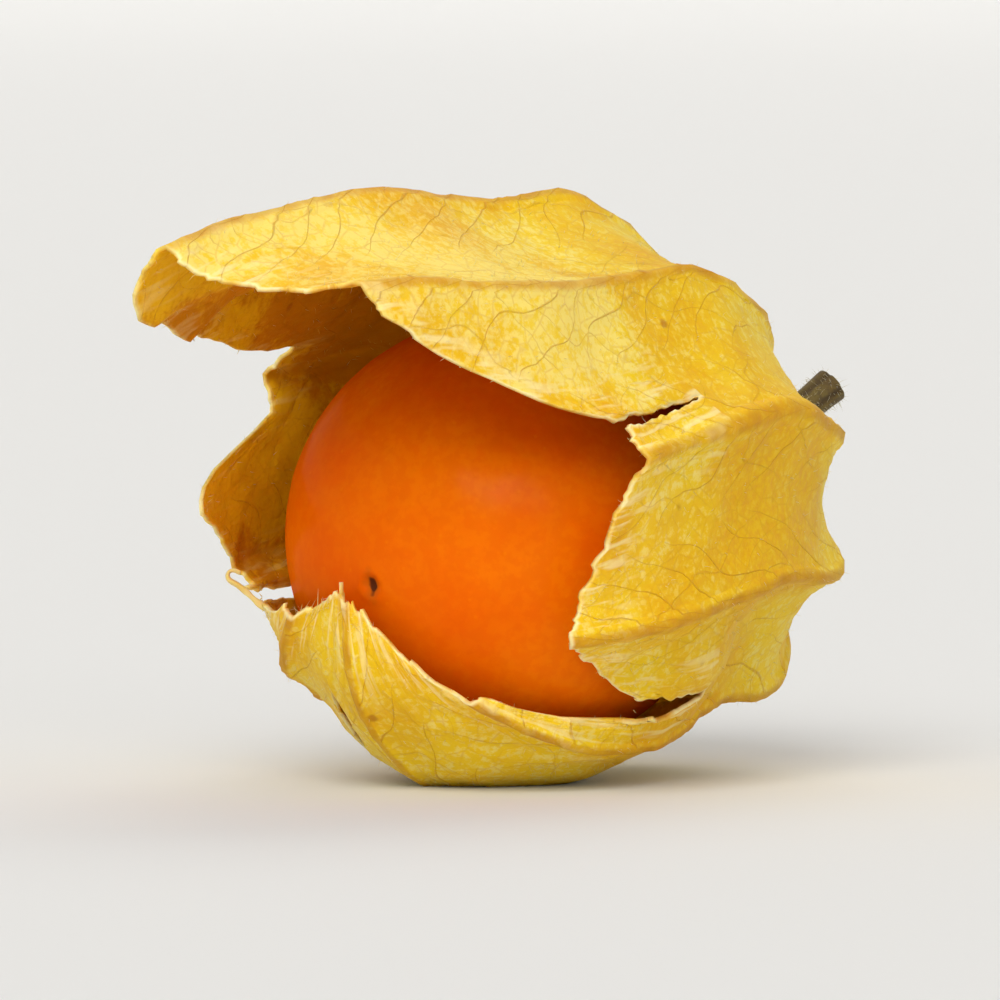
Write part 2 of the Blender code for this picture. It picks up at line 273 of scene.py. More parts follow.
def smooth_mesh(name: str, points: Array, faces: Faces, material: Material) -> Object:
    """Makes a smooth shaded object.

    Args:
        name: Its name.
        points: Rows of three numbers.
        faces: Point numbers of each face.
        material: Its finish.

    Returns:
        The object.
    """
    mesh = bpy.data.meshes.new(name)
    mesh.from_pydata(points.tolist(), [], faces)
    mesh.materials.append(material)
    mesh.shade_smooth()
    return placed(name, mesh)


def note_values(piece: Object, name: str, values: Array) -> None:
    """Keeps a number or a vector for each point of a piece, for its finish to read.

    Args:
        piece: The piece.
        name: Name that the finish reads it by.
        values: One number, or one row of three, a point.
    """
    vectors = values.ndim == 2 and values.shape[1] == 3
    layer = piece.data.attributes.new(name, "FLOAT_VECTOR" if vectors else "FLOAT", "POINT")
    flat = np.ascontiguousarray(values, dtype=np.float32).ravel()
    layer.data.foreach_set("vector" if vectors else "value", flat)


@dataclass
class Shape:
    """Points and faces of a piece, and what its finish reads at each point."""

    points: Array
    faces: Faces
    readings: dict[str, Array] = field(default_factory=dict)


class Piece(ABC):
    """A piece of the fruit, with its name and the slot of its finish."""

    name: str
    slot: Slot

    @abstractmethod
    def shape(self) -> Shape:
        """Works out the piece's shape."""

    def build(self, finish: Material) -> Object:
        """Builds the piece, which rides on the fruit's one body.

        Args:
            finish: Its material.

        Returns:
            The object.
        """
        shape = self.shape()
        piece = smooth_mesh(self.name, shape.points, shape.faces, finish)
        for name, values in shape.readings.items():
            note_values(piece, name, values)
        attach(piece, "root")
        return piece


class ShaderBoard:
    """A material's node tree, with short ways to add nodes and to join them."""

    def __init__(self, name: str) -> None:
        """Starts a material with one Principled shader.

        Args:
            name: The material's name.
        """
        self.material = bpy.data.materials.new(name)
        self.material.use_nodes = True
        self.tree = self.material.node_tree
        self.shader = self.tree.nodes["Principled BSDF"]

    def set(self, **sockets: float | tuple[float, ...]) -> None:
        """Sets sockets of the shader, named with _ for each space."""
        for name, value in sockets.items():
            self.shader.inputs[name.replace("_", " ")].default_value = value

    def dress(self, colour: Socket, roughness: Socket, bumps: Socket | None = None) -> None:
        """Gives the shader what changes over the surface.

        Args:
            colour: The output with its colour.
            roughness: The output with its roughness.
            bumps: The output with its bent normals.
        """
        self.feed(self.shader.inputs["Base Color"], colour)
        self.feed(self.shader.inputs["Roughness"], roughness)
        if bumps is not None:
            self.feed(self.shader.inputs["Normal"], bumps)

    def feed(self, socket: Socket, value: Feed) -> None:
        """Joins an output to a socket, or sets the socket to a fixed value.

        Args:
            socket: The input.
            value: An output, a number or a colour.
        """
        if isinstance(value, Socket):
            self.tree.links.new(value, socket)
        elif isinstance(value, tuple) and len(value) == 3 and socket.type == "RGBA":
            socket.default_value = (*value, 1.0)
        else:
            socket.default_value = value

    def node(self, kind: str, output: int | str, inputs: dict[int | str, Feed], **choices: str) -> Socket:
        """Adds a node.

        Args:
            kind: Blender's name of its kind, without ShaderNode.
            output: Number or name of the output that is used.
            inputs: What each input gets, by number or name.
            choices: What is chosen among its options, by the option's name.

        Returns:
            The output.
        """
        node = self.tree.nodes.new(f"ShaderNode{kind}")
        for option, choice in choices.items():
            setattr(node, option, choice)
        for key, value in inputs.items():
            self.feed(node.inputs[key], value)
        return node.outputs[output]

    def reading(self, name: str, output: str = "Fac") -> Socket:
        """The output with what note_values kept under a name: Fac for numbers, Vector for vectors."""
        return self.node("Attribute", output, {}, attribute_name=name)

    def places(self) -> Socket:
        """The output with each point's place on the object, in metres."""
        return self.node("TexCoord", "Object", {})

    def figure(self, operation: Sum, *values: Socket | float) -> Socket:
        """The output with the result of a sum on one or two numbers."""
        return self.node("Math", 0, dict(enumerate(values)), operation=operation.value)

    def product(self, first: Socket, *others: Socket | float) -> Socket:
        """Multiplies numbers together.

        Args:
            first: The first number.
            others: The numbers that it is multiplied by, one after another.

        Returns:
            The output with the product.
        """
        for other in others:
            first = self.figure(Sum.TIMES, first, other)
        return first

    def total(self, first: Socket, *others: Socket | float) -> Socket:
        """Adds numbers up.

        Args:
            first: The first number.
            others: The numbers that are added to it, one after another.

        Returns:
            The output with the total.
        """
        for other in others:
            first = self.figure(Sum.ADD, first, other)
        return first

    def span(self, value: Socket, limits: Span) -> Socket:
        """The output with a number's place between two limits, eased, as Span says."""
        inputs = dict(enumerate((value, *limits)))
        return self.node("MapRange", "Result", inputs, interpolation_type="SMOOTHSTEP")

    def blend(self, share: Socket | float, first: Socket | Colour, second: Socket | Colour) -> Socket:
        """The output with a blend of two colours, where share is the part of the second."""
        return self.node("Mix", 2, {0: share, 6: first, 7: second}, data_type="RGBA")

    def clouds(self, places: Socket, clouds: Clouds) -> Socket:
        """The output with cloudy noise round 0.5, as Clouds says."""
        inputs = dict(zip(("Scale", "Detail", "Roughness", "Distortion"), (1.0 / clouds[0], *clouds[1:])))
        return self.node("TexNoise", "Fac", {"Vector": places, **inputs})

    def cells(self, places: Socket, size: float, read: Cells) -> Socket:
        """The output with distances in irregular cells of a size in metres, counted in cells."""
        inputs = {"Vector": places, "Scale": 1.0 / size}
        return self.node("TexVoronoi", "Distance", inputs, feature=read.value)

    def relief(self, height: Socket, bump: Bump, under: Socket | None = None) -> Socket:
        """A bump.

        Args:
            height: Its height, from 0 to 1.
            bump: Height of 1, and the part that shows.
            under: A bump that it lies on.

        Returns:
            The output with the bent normals.
        """
        inputs = {"Height": height, "Distance": bump[0], "Strength": bump[1]}
        if under is not None:
            inputs["Normal"] = under
        return self.node("Bump", "Normal", inputs)


@dataclass(frozen=True)
class HuskFinish:
    """Dry husk: straw and gold paper, finely netted with veins, brown and deeper inside as painted shade."""

    straw: Colour = (0.89, 0.72, 0.165)
    gold: Colour = (0.86, 0.60, 0.007)
    # ochre is partly a stain colour and partly painted shade, the warm tone of the paper in shadow.
    ochre: Colour = (0.76, 0.355, 0.002)
    # inside and the lining's deeper colour are painted shade: the husk's inside is coloured darker than its
    # paper.
    inside: Colour = (0.78, 0.44, 0.006)
    lining_painted_shade: Colour = (0.56, 0.215, 0.002)
    vein: Colour = (0.60, 0.23, 0.004)
    rib: Colour = (0.54, 0.22, 0.005)
    spot: Colour = (0.40, 0.12, 0.006)
    torn: Colour = (0.92, 0.82, 0.46)
    sinew: Colour = (0.93, 0.80, 0.38)
    fibre: Clouds = (0.40 * MM, 3.0, 0.65)
    streak: Clouds = (0.55, 2.0, 0.6)
    speckles: Span = (0.36, 0.66, -0.42, 0.42)
    straw_tones: Span = (0.05, 0.95)
    ochre_fibres: Span = (0.7, 0.3, 0.35, 0.85)
    lining_painted_shade_spread: Span = (0.5, 1.1)
    net_share: float = 0.50
    rib_width: Span = (0.03, 0.12, 1.0, 0.0)
    rib_mottle: Span = (0.2, 0.8, 0.40, 0.75)
    spot_gap: float = 2.9 * MM
    spot_width: Span = (0.04, 0.12, 0.65, 0.0)
    spots_in_stain_and_shade: Span = (0.15, 0.5)
    sinew_streaks: Span = (0.50, 0.66)
    sinew_reach: Span = (0.6, 4.5, 0.70, 0.0)
    sinew_inside: Span = (0.0, 1.0, 1.0, 0.35)
    fray_reach: Span = (0.02, 0.26, 0.75, 0.0)
    fray_mottle: Span = (0.30, 0.62, 0.15, 1.0)
    fray_inside: Span = (0.0, 1.0, 1.0, 0.45)
    roughness: Span = (0.3, 0.7, 0.50, 0.70)
    fibre_height: float = 0.45
    vein_height: float = 0.55
    streak_height: float = 0.5
    bumps: Bump = (0.15 * MM, 0.80)
    vein_half_width: float = 0.024
    crossing_half_width: float = 0.017
    crossing_strength: float = 0.6
    vein_fibres: Span = (0.3, 0.6, 0.5, 1.0)
    cell_size: float = 1.25 * MM
    cell_wall: Span = (0.0, 0.06, 1.0, 0.0)
    cell_fibres: Span = (0.35, 0.65, 0.10, 0.60)
    line_core: float = 0.3
    least_net: float = 0.02

    def make(self) -> Material:
        """Makes the material.

        Returns:
            The material, which reads tone, mottle, stain, from_rib, veins, crossing, netted,
            rim_near, inner and sheet.
        """
        board = ShaderBoard("dry_husk")
        places = board.places()
        mottle, stain_and_shade, inner = (board.reading(name) for name in ("mottle", "stain_and_shade", "inner"))
        fibre = board.clouds(places, self.fibre)
        streak = board.clouds(board.reading("sheet", "Vector"), self.streak)
        speckled = board.total(board.reading("tone"), board.span(fibre, self.speckles))
        paper = board.blend(board.span(speckled, self.straw_tones), self.gold, self.straw)
        # Ochre patches: partly real stain, partly painted shade laid on in noise patches.
        paper = board.blend(board.product(stain_and_shade, board.span(fibre, self.ochre_fibres)), paper, self.ochre)
        # Painted shade on the lining: the inner skin takes darker browns, deepest where stain and fibre noise
        # are high.
        dark = board.span(board.total(stain_and_shade, fibre), self.lining_painted_shade_spread)
        paper = board.blend(inner, paper, board.blend(dark, self.inside, self.lining_painted_shade))
        drawn, fine = self.net(board, places, fibre)
        net = board.product(board.figure(Sum.LARGER, drawn, fine), self.net_share)
        paper = board.blend(net, paper, self.vein)
        ribbed = board.span(board.reading("from_rib"), self.rib_width)
        paper = board.blend(board.product(ribbed, board.span(mottle, self.rib_mottle)), paper, self.rib)
        # Dark spots, more of them in the patches of stain and painted shade.
        spots = board.span(board.cells(places, self.spot_gap, Cells.OFF_MIDDLE), self.spot_width)
        paper = board.blend(board.product(spots, board.span(stain_and_shade, self.spots_in_stain_and_shade)), paper, self.spot)
        paper = self.edged(board, paper, streak, mottle, inner)
        height = board.total(board.product(fibre, self.fibre_height), board.product(drawn, self.vein_height),
                             board.product(streak, self.streak_height))
        board.dress(paper, board.span(fibre, self.roughness), board.relief(height, self.bumps))
        board.shader.subsurface_method = "BURLEY"
        board.set(Specular_IOR_Level=0.20, Subsurface_Weight=0.7, Subsurface_Radius=(1.0, 0.7, 0.10),
                  Subsurface_Scale=0.6 * MM)
        return board.material

    def edged(self, board: ShaderBoard, paper: Socket, streak: Socket, mottle: Socket,
              inner: Socket) -> Socket:
        """Bleaches the paper near its torn rim: sinews that run to it, and a frayed edge.

        Args:
            board: The material's board.
            paper: The paper's colour.
            streak: Noise drawn out towards the rim.
            mottle: Noise that breaks the fray up.
            inner: 1 on the lining.

        Returns:
            The output with the colour.
        """
        near = board.reading("rim_near")
        sinews = board.product(board.span(streak, self.sinew_streaks), board.span(near, self.sinew_reach),
                               board.span(inner, self.sinew_inside))
        frayed = board.product(board.span(near, self.fray_reach), board.span(mottle, self.fray_mottle),
                               board.span(inner, self.fray_inside))
        return board.blend(frayed, board.blend(sinews, paper, self.sinew), self.torn)

    def net(self, board: ShaderBoard, places: Socket, fibre: Socket) -> tuple[Socket, Socket]:
        """The net of veins.

        Args:
            board: The material's board.
            places: Places on the object.
            fibre: Fine noise that breaks the lines up.

        Returns:
            The side veins and the fine cells between them, 1 on a line and 0 off it.
        """
        veins = self.line(board, "veins", self.vein_half_width)
        crossing = board.product(self.line(board, "crossing", self.crossing_half_width),
                                 self.crossing_strength)
        drawn = board.product(board.figure(Sum.LARGER, veins, crossing), board.span(fibre, self.vein_fibres))
        walls = board.span(board.cells(places, self.cell_size, Cells.OFF_EDGE), self.cell_wall)
        return drawn, board.product(walls, board.span(fibre, self.cell_fibres))

    def line(self, board: ShaderBoard, name: str, half_width: float) -> Socket:
        """Lines where a reading is a whole number, thinner where the reading netted is low.

        Args:
            board: The material's board.
            name: The reading.
            half_width: Half of a line's width, in parts of the gap between lines.

        Returns:
            The output with 1 on a line and 0 off it.
        """
        phase = board.figure(Sum.PART, board.total(board.reading(name), 0.5))
        off = board.figure(Sum.SIZE, board.figure(Sum.TAKE, phase, 0.5))
        netted = board.figure(Sum.LARGER, board.reading("netted"), self.least_net)
        off = board.figure(Sum.SHARE, off, netted)
        return board.span(off, (half_width * self.line_core, half_width, 1.0, 0.0))


@dataclass(frozen=True)
class BerrySkinFinish:
    """Waxy orange skin, deeper in blotches, with fine pale flecks and a dark scar at its tip."""

    orange: Colour = (0.93, 0.150, 0.0006)
    deep: Colour = (0.80, 0.078, 0.0005)
    bright: Colour = (0.96, 0.23, 0.0015)
    scar: Colour = (0.075, 0.022, 0.008)
    rim: Colour = (0.55, 0.12, 0.006)
    blotch: Clouds = (7 * MM, 3.0, 0.5, 0.3)
    blotches: Span = (0.30, 0.70)
    evenness: float = 0.55
    speckle: Clouds = (0.55 * MM, 3.0, 0.6)
    speckles: Span = (0.60, 0.42, 0.0, 0.18)
    fleck_gap: float = 0.9 * MM
    flecks: Span = (0.06, 0.14, 0.22, 0.0)
    wobble: Clouds = (0.7 * MM,)
    wobbles: Span = (0.2, 0.8, -0.16, 0.16)
    scar_rim: Span = (0.36, 0.80, 0.6, 0.0)
    scar_reach: Span = (0.24, 0.43, 0.96, 0.0)
    base_rim: Span = (1.2, 2.9, 0.8, 0.0)
    roughness: Span = (0.3, 0.7, 0.33, 0.43)
    swell: Clouds = (2.4 * MM,)
    swell_bumps: Bump = (0.10 * MM, 0.35)
    pits: Span = (0.05, 0.2)
    pit_bumps: Bump = (0.012 * MM, 0.5)

    def make(self) -> Material:
        """Makes the material.

        Returns:
            The material, which reads off_tip and off_base, in mm along the skin.
        """
        board = ShaderBoard("berry_skin")
        places = board.places()
        blotches = board.clouds(places, self.blotch)
        speckle = board.clouds(places, self.speckle)
        flecks = board.cells(places, self.fleck_gap, Cells.OFF_MIDDLE)
        skin = board.blend(board.span(blotches, self.blotches), self.deep, self.bright)
        skin = board.blend(self.evenness, skin, self.orange)
        skin = board.blend(board.span(flecks, self.flecks), skin, self.bright)
        skin = board.blend(board.span(speckle, self.speckles), skin, self.deep)
        wobble = board.span(board.clouds(places, self.wobble), self.wobbles)
        off_tip = board.total(board.reading("off_tip"), wobble)
        skin = board.blend(board.span(off_tip, self.scar_rim), skin, self.rim)
        skin = board.blend(board.span(off_tip, self.scar_reach), skin, self.scar)
        skin = board.blend(board.span(board.reading("off_base"), self.base_rim), skin, self.rim)
        bumps = board.relief(board.clouds(places, self.swell), self.swell_bumps)
        bumps = board.relief(board.span(flecks, self.pits), self.pit_bumps, bumps)
        board.dress(skin, board.span(speckle, self.roughness), bumps)
        board.shader.subsurface_method = "BURLEY"
        board.set(Specular_IOR_Level=0.0, Subsurface_Weight=0.45, Subsurface_Radius=(1.0, 0.20, 0.02),
                  Subsurface_Scale=2.2 * MM, Coat_Weight=0.06, Coat_Roughness=0.20)
        return board.material


@dataclass(frozen=True)
class StemFinish:
    """Dry stalk: olive brown, streaked along its grooves, pale at its cut."""

    bark: Colour = (0.100, 0.062, 0.017)
    dark: Colour = (0.050, 0.028, 0.008)
    green: Colour = (0.145, 0.105, 0.026)
    cut: Colour = (0.50, 0.40, 0.20)
    blotch: Clouds = (2.2 * MM, 4.0, 0.6, 0.4)
    blotches: Span = (0.35, 0.65)
    groove_share: float = 0.75
    fibre: Clouds = (0.22 * MM, 3.0, 0.65)
    fibres: Span = (0.55, 0.35, 0.0, 0.6)
    cut_reach: Span = (0.3, 0.8, 0.0, 0.85)
    roughness: Span = (0.3, 0.7, 0.62, 0.85)
    fibre_bumps: Bump = (0.05 * MM, 0.8)
    blotch_bumps: Bump = (0.12 * MM, 0.5)

    def make(self) -> Material:
        """Makes the material.

        Returns:
            The material, which reads groove and cut_near.
        """
        board = ShaderBoard("stem_skin")
        places = board.places()
        blotches = board.clouds(places, self.blotch)
        fibre = board.clouds(places, self.fibre)
        skin = board.blend(board.span(blotches, self.blotches), self.bark, self.green)
        skin = board.blend(board.product(board.reading("groove"), self.groove_share), skin, self.dark)
        skin = board.blend(board.span(fibre, self.fibres), skin, self.dark)
        skin = board.blend(board.span(board.reading("cut_near"), self.cut_reach), skin, self.cut)
        bumps = board.relief(blotches, self.blotch_bumps, board.relief(fibre, self.fibre_bumps))
        board.dress(skin, board.span(fibre, self.roughness), bumps)
        board.set(Specular_IOR_Level=0.3, Sheen_Weight=0.1)
        return board.material


@dataclass(frozen=True)
class DownFinish:
    """Fine pale down and torn fibres."""

    name: str
    pale: Colour
    warm: Colour
    shade: Clouds = (1.5 * MM,)
    shades: Span = (0.3, 0.7)
    roughness: Span = (0.3, 0.7, 0.5, 0.7)

    def make(self) -> Material:
        """Makes the material.

        Returns:
            The material.
        """
        board = ShaderBoard(self.name)
        shade = board.clouds(board.places(), self.shade)
        board.dress(board.blend(board.span(shade, self.shades), self.pale, self.warm),
                    board.span(shade, self.roughness))
        board.set(Subsurface_Weight=0.4, Subsurface_Radius=(1.0, 0.6, 0.2), Subsurface_Scale=0.2 * MM,
                  Sheen_Weight=0.2)
        return board.material


@dataclass
class HuskForm:
    """The husk's wall as a rule: an angle and a length from the hole give a place.

    Lengths in the tables are in mm from the hole and angles in degrees. A closed side's outline
    follows shut_slope and a laid open one wide_slope, in degrees from the axis.
    """

    lie: FruitLie
    berry_radius: float = 10.4 * MM
    clearance: float = 0.77 * MM
    hug_reach: float = 1.2 * MM
    hole_radius: float = 1.08 * MM
    hole_setback: float = 11.95 * MM
    least_radius: float = 0.4 * MM
    raised: float = 2.4 * MM
    raised_over: float = 9.0 * MM
    raised_behind: float = 1.5 * MM
    ribs: int = 10
    first_rib: float = 5.0
    pane_sink: float = 0.085
    panes_full_from: float = 5.0
    shoulder_sink: float = 0.07
    shoulder_at: float = 7.5
    shoulder_spread: float = 3.5
    shut_slope: Table = ((0, 128), (3, 122), (5.6, 92), (8, 63), (11, 34), (15, 12), (20, 0),
                         (25, -14), (30, -45), (35, -78), (40, -92), (48, -92))
    wide_slope: Table = ((0, 128), (3, 122), (5.6, 92), (8, 63), (11, 34), (15, 12), (20, 4),
                         (25, 12), (31, 13), (38, 4), (48, -12))
    opened: Table = ((0, 1.0), (45, 0.95), (67, 0.82), (111, 0.60), (138, 0.50), (150, 0.10), (165, 0.0),
                     (228, 0.0), (246, 0.20), (264, 0.44), (284, 0.48), (302, 0.66), (330, 0.74),
                     (347, 0.90))
    rim: Table = ((5, 46.5), (17, 44.6), (30, 43.0), (46, 40.6), (55, 37.5), (62, 33.5), (68, 29.8),
                  (72, 28.9), (86, 30.6), (113, 33.2), (122, 30.6), (137, 25.9), (141.5, 26.4),
                  (146, 32.4), (156, 34.6), (169, 36.6), (187, 37.8), (207, 37.0), (230, 35.0),
                  (245, 31.2), (257, 29.8), (268, 32.4), (275, 34.2), (279, 33.6), (283, 28.6),
                  (287, 24.8), (302, 24.8), (307, 27.8), (316, 33.0), (329, 38.6), (344, 43.2),
                  (356, 46.9))
    ragged: tuple[Layer, ...] = ((1 / 11, 0.42, (0.0, 0.0, 3.3)), (1 / 26, 0.252, (0.0, 0.0, 20.8)),
                                 (1 / 75, 0.21, (0.0, 0.0, 64.0)))
    lobe_edges: tuple[float, float] = (-58.0, 70.0)
    lobe_narrows: tuple[float, float] = (29.0, 47.0)
    lobe_narrowing: float = 0.34
    crumples: tuple[Layer, ...] = ((9.5 * MM, 0.50 * MM, (3.1, 7.7, 1.9)),
                                   (4.2 * MM, 0.22 * MM, (6.2, 15.4, 3.8)))
    crumples_from: float = 4.0
    crumples_over: float = 9.0
    hugging_lift: float = 0.36 * MM
    near_degrees: float = 0.7
    near_mm: float = 0.3
    longest: float = 50.0
    step: float = 0.25
    levels: int = 200
    profiles: Array = field(init=False)

    def __post_init__(self) -> None:
        """Works out the outlines for every share of opening, (ahead, out) at each step of length."""
        share = np.linspace(0.0, 1.0, self.levels + 1)
        ahead = np.full_like(share, -self.hole_setback)
        out = np.full_like(share, self.hole_radius)
        rows = [(ahead, out)]
        for place in np.arange(0.5 * self.step, self.longest, self.step):
            shut, wide = eased(self.shut_slope, place), eased(self.wide_slope, place)
            slope = np.radians(shut + (wide - shut) * share)
            ahead = ahead + np.cos(slope) * self.step * MM
            out = np.maximum(self.least_radius, out + np.sin(slope) * self.step * MM)
            rows.append((ahead, out))
        self.profiles = np.array(rows).transpose(2, 0, 1)

    def meridian(self, angle: Array, length: Array) -> Array:
        """How far ahead of the berry's middle, and out from the axis, the bare wall is.

        Args:
            angle: Angles.
            length: Lengths.

        Returns:
            Two numbers a place, in metres.
        """
        level = eased(closed(self.opened), angle % 360.0) * self.levels
        low = np.clip(level.astype(int), 0, self.levels - 1)
        last = self.profiles.shape[1] - 1
        place = np.clip(length / self.step, 0.0, last)
        row = np.minimum(place.astype(int), last - 1)
        up, on = (level - low)[..., None], (place - row)[..., None]
        near = self.profiles[low, row] * (1 - on) + self.profiles[low, row + 1] * on
        far = self.profiles[low + 1, row] * (1 - on) + self.profiles[low + 1, row + 1] * on
        return near * (1 - up) + far * up

    def rim_length(self, angle: Array) -> Array:
        """Finds where the torn rim ends the wall, ragged in large and small.

        Args:
            angle: Angles.

        Returns:
            The length of the wall at each angle.
        """
        places, values = np.array(closed(self.rim)).T
        turn = np.radians(angle)
        ring = np.stack([np.cos(turn), np.sin(turn), np.zeros_like(turn)], axis=-1)
        return np.interp(angle % 360.0, places, values) + layered(ring, self.ragged)

    def narrowed(self, angle: Array, length: Array) -> Array:
        """Draws the top lobe in towards its tip.

        Args:
            angle: Angles.
            length: Lengths.

        Returns:
            The angles at which the places really lie.
        """
        from_tip = signed(angle)
        in_lobe = (from_tip > self.lobe_edges[0]) & (from_tip < self.lobe_edges[1])
        start, end = self.lobe_narrows
        drawn = 1.0 - self.lobe_narrowing * smooth((length - start) / (end - start))
        return np.where(in_lobe, from_tip * drawn, angle)

    def pane(self, angle: Array, length: Array) -> Array:
        """Flattens the wall between its ribs.

        Args:
            angle: Angles.
            length: Lengths.

        Returns:
            The part of the radius that is left: 1 on a rib, and less between ribs.
        """
        half = 180.0 / self.ribs
        from_middle = (angle - self.first_rib) % (2 * half) - half
        flattest = math.cos(math.radians(half))
        flat = flattest / np.cos(np.radians(from_middle))
        sink = self.pane_sink + self.shoulder_sink * bell(length - self.shoulder_at, self.shoulder_spread)
        return 1.0 - (1.0 - flat) * sink / (1.0 - flattest)

    def bare(self, angle: Array, length: Array) -> Array:
        """Places of the wall without ribs and crumples.

        Args:
            angle: Angles.
            length: Lengths.

        Returns:
            The places, in metres.
        """
        ahead, out = np.moveaxis(self.meridian(angle, length), -1, 0)
        spread = smooth((ahead + self.hole_setback + self.raised_behind) / self.raised_over)
        pane = 1.0 + (self.pane(angle, length) - 1.0) * smooth(length / self.panes_full_from)
        middle = (self.lie.middle + self.lie.axis * ahead[..., None]
                  + self.lie.top * (self.raised * spread)[..., None])
        return middle + self.lie.around(self.narrowed(angle, length)) * (out * pane)[..., None]

    def outward(self, angle: Array, length: Array) -> Array:
        """Directions out of the bare wall.

        Args:
            angle: Angles.
            length: Lengths.

        Returns:
            The directions, each of length 1.
        """
        here = self.bare(angle + self.near_degrees, length) - self.bare(angle - self.near_degrees, length)
        back = np.maximum(0.0, length - self.near_mm)
        ahead = self.bare(angle, length + self.near_mm) - self.bare(angle, back)
        return unit(np.cross(ahead, here))

    def clear(self, places: Array) -> Array:
        """Moves places out to where they are clear of the berry.

        Args:
            places: Places, in metres.

        Returns:
            The moved places.
        """
        away = places - self.lie.middle
        reach = np.linalg.norm(away, axis=-1, keepdims=True)
        least = self.berry_radius + self.clearance
        return self.lie.middle + away * np.maximum(1.0, least / np.maximum(reach, TINY))

    def hugging(self, places: Array) -> Array:
        """How closely places of the wall hug the berry, from 0 to 1."""
        reach = np.linalg.norm(places - self.lie.middle, axis=-1)
        return smooth((self.berry_radius + self.clearance + self.hug_reach - reach) / self.hug_reach)

    def places(self, angle: Array, length: Array, lifted: Array) -> Array:
        """Places of the wall's middle.

        Args:
            angle: Angles.
            length: Lengths.
            lifted: How far out of the crumpled wall each place is, in metres.

        Returns:
            The places, crumpled, lifted and clear of the berry.
        """
        bare = self.bare(angle, length)
        hugging = self.hugging(bare)
        spot = self.clear(bare)
        free = smooth((length - self.crumples_from) / self.crumples_over)
        lift = free * (layered(spot, self.crumples) + hugging * self.hugging_lift)
        away = unit(bare - self.lie.middle)
        share = hugging[..., None]
        outward = unit(self.outward(angle, length) * (1 - share) + away * share)
        return self.clear(spot + outward * (lift + lifted)[..., None])


@dataclass(frozen=True)
class Tear:
    """A tear along the husk.

    first and last are shares of the wall's rows, which run from -1 at the hole to 1 at the rim.
    half_width and lift, by which its right side stands out, are in mm.
    """

    angle: float
    first: float
    last: float
    half_width: float
    lift: float

    @property
    def is_slit(self) -> bool:
        """Whether it ends short of the rim."""
        return self.last < 1.0

    def inside(self, share: Array) -> Array:
        """Which rows it runs through."""
        return (share > self.first) & ((share < self.last) | (not self.is_slit))

    def gape(self, share: Array) -> Array:
        """How far it gapes at each row, from 0 to 1."""
        part = self.part(share)
        return np.sin(math.pi * part) if self.is_slit else np.sqrt(part)

    def part(self, share: Array) -> Array:
        """How far along the tear each row is, from 0 to 1."""
        return np.clip((share - self.first) / (self.last - self.first), 0.0, 1.0)


@dataclass(frozen=True)
class VeinRun:
    """Veins that run across the panes between ribs, one at each whole number of their reading.

    gap is in mm and height in metres. lean, wander and jump say how much the reading goes with the
    distance from the rib, with the husk's wander and with each pane's own shift.
    """

    name: str
    gap: float
    lean: float
    wander: float
    jump: float
    height: float


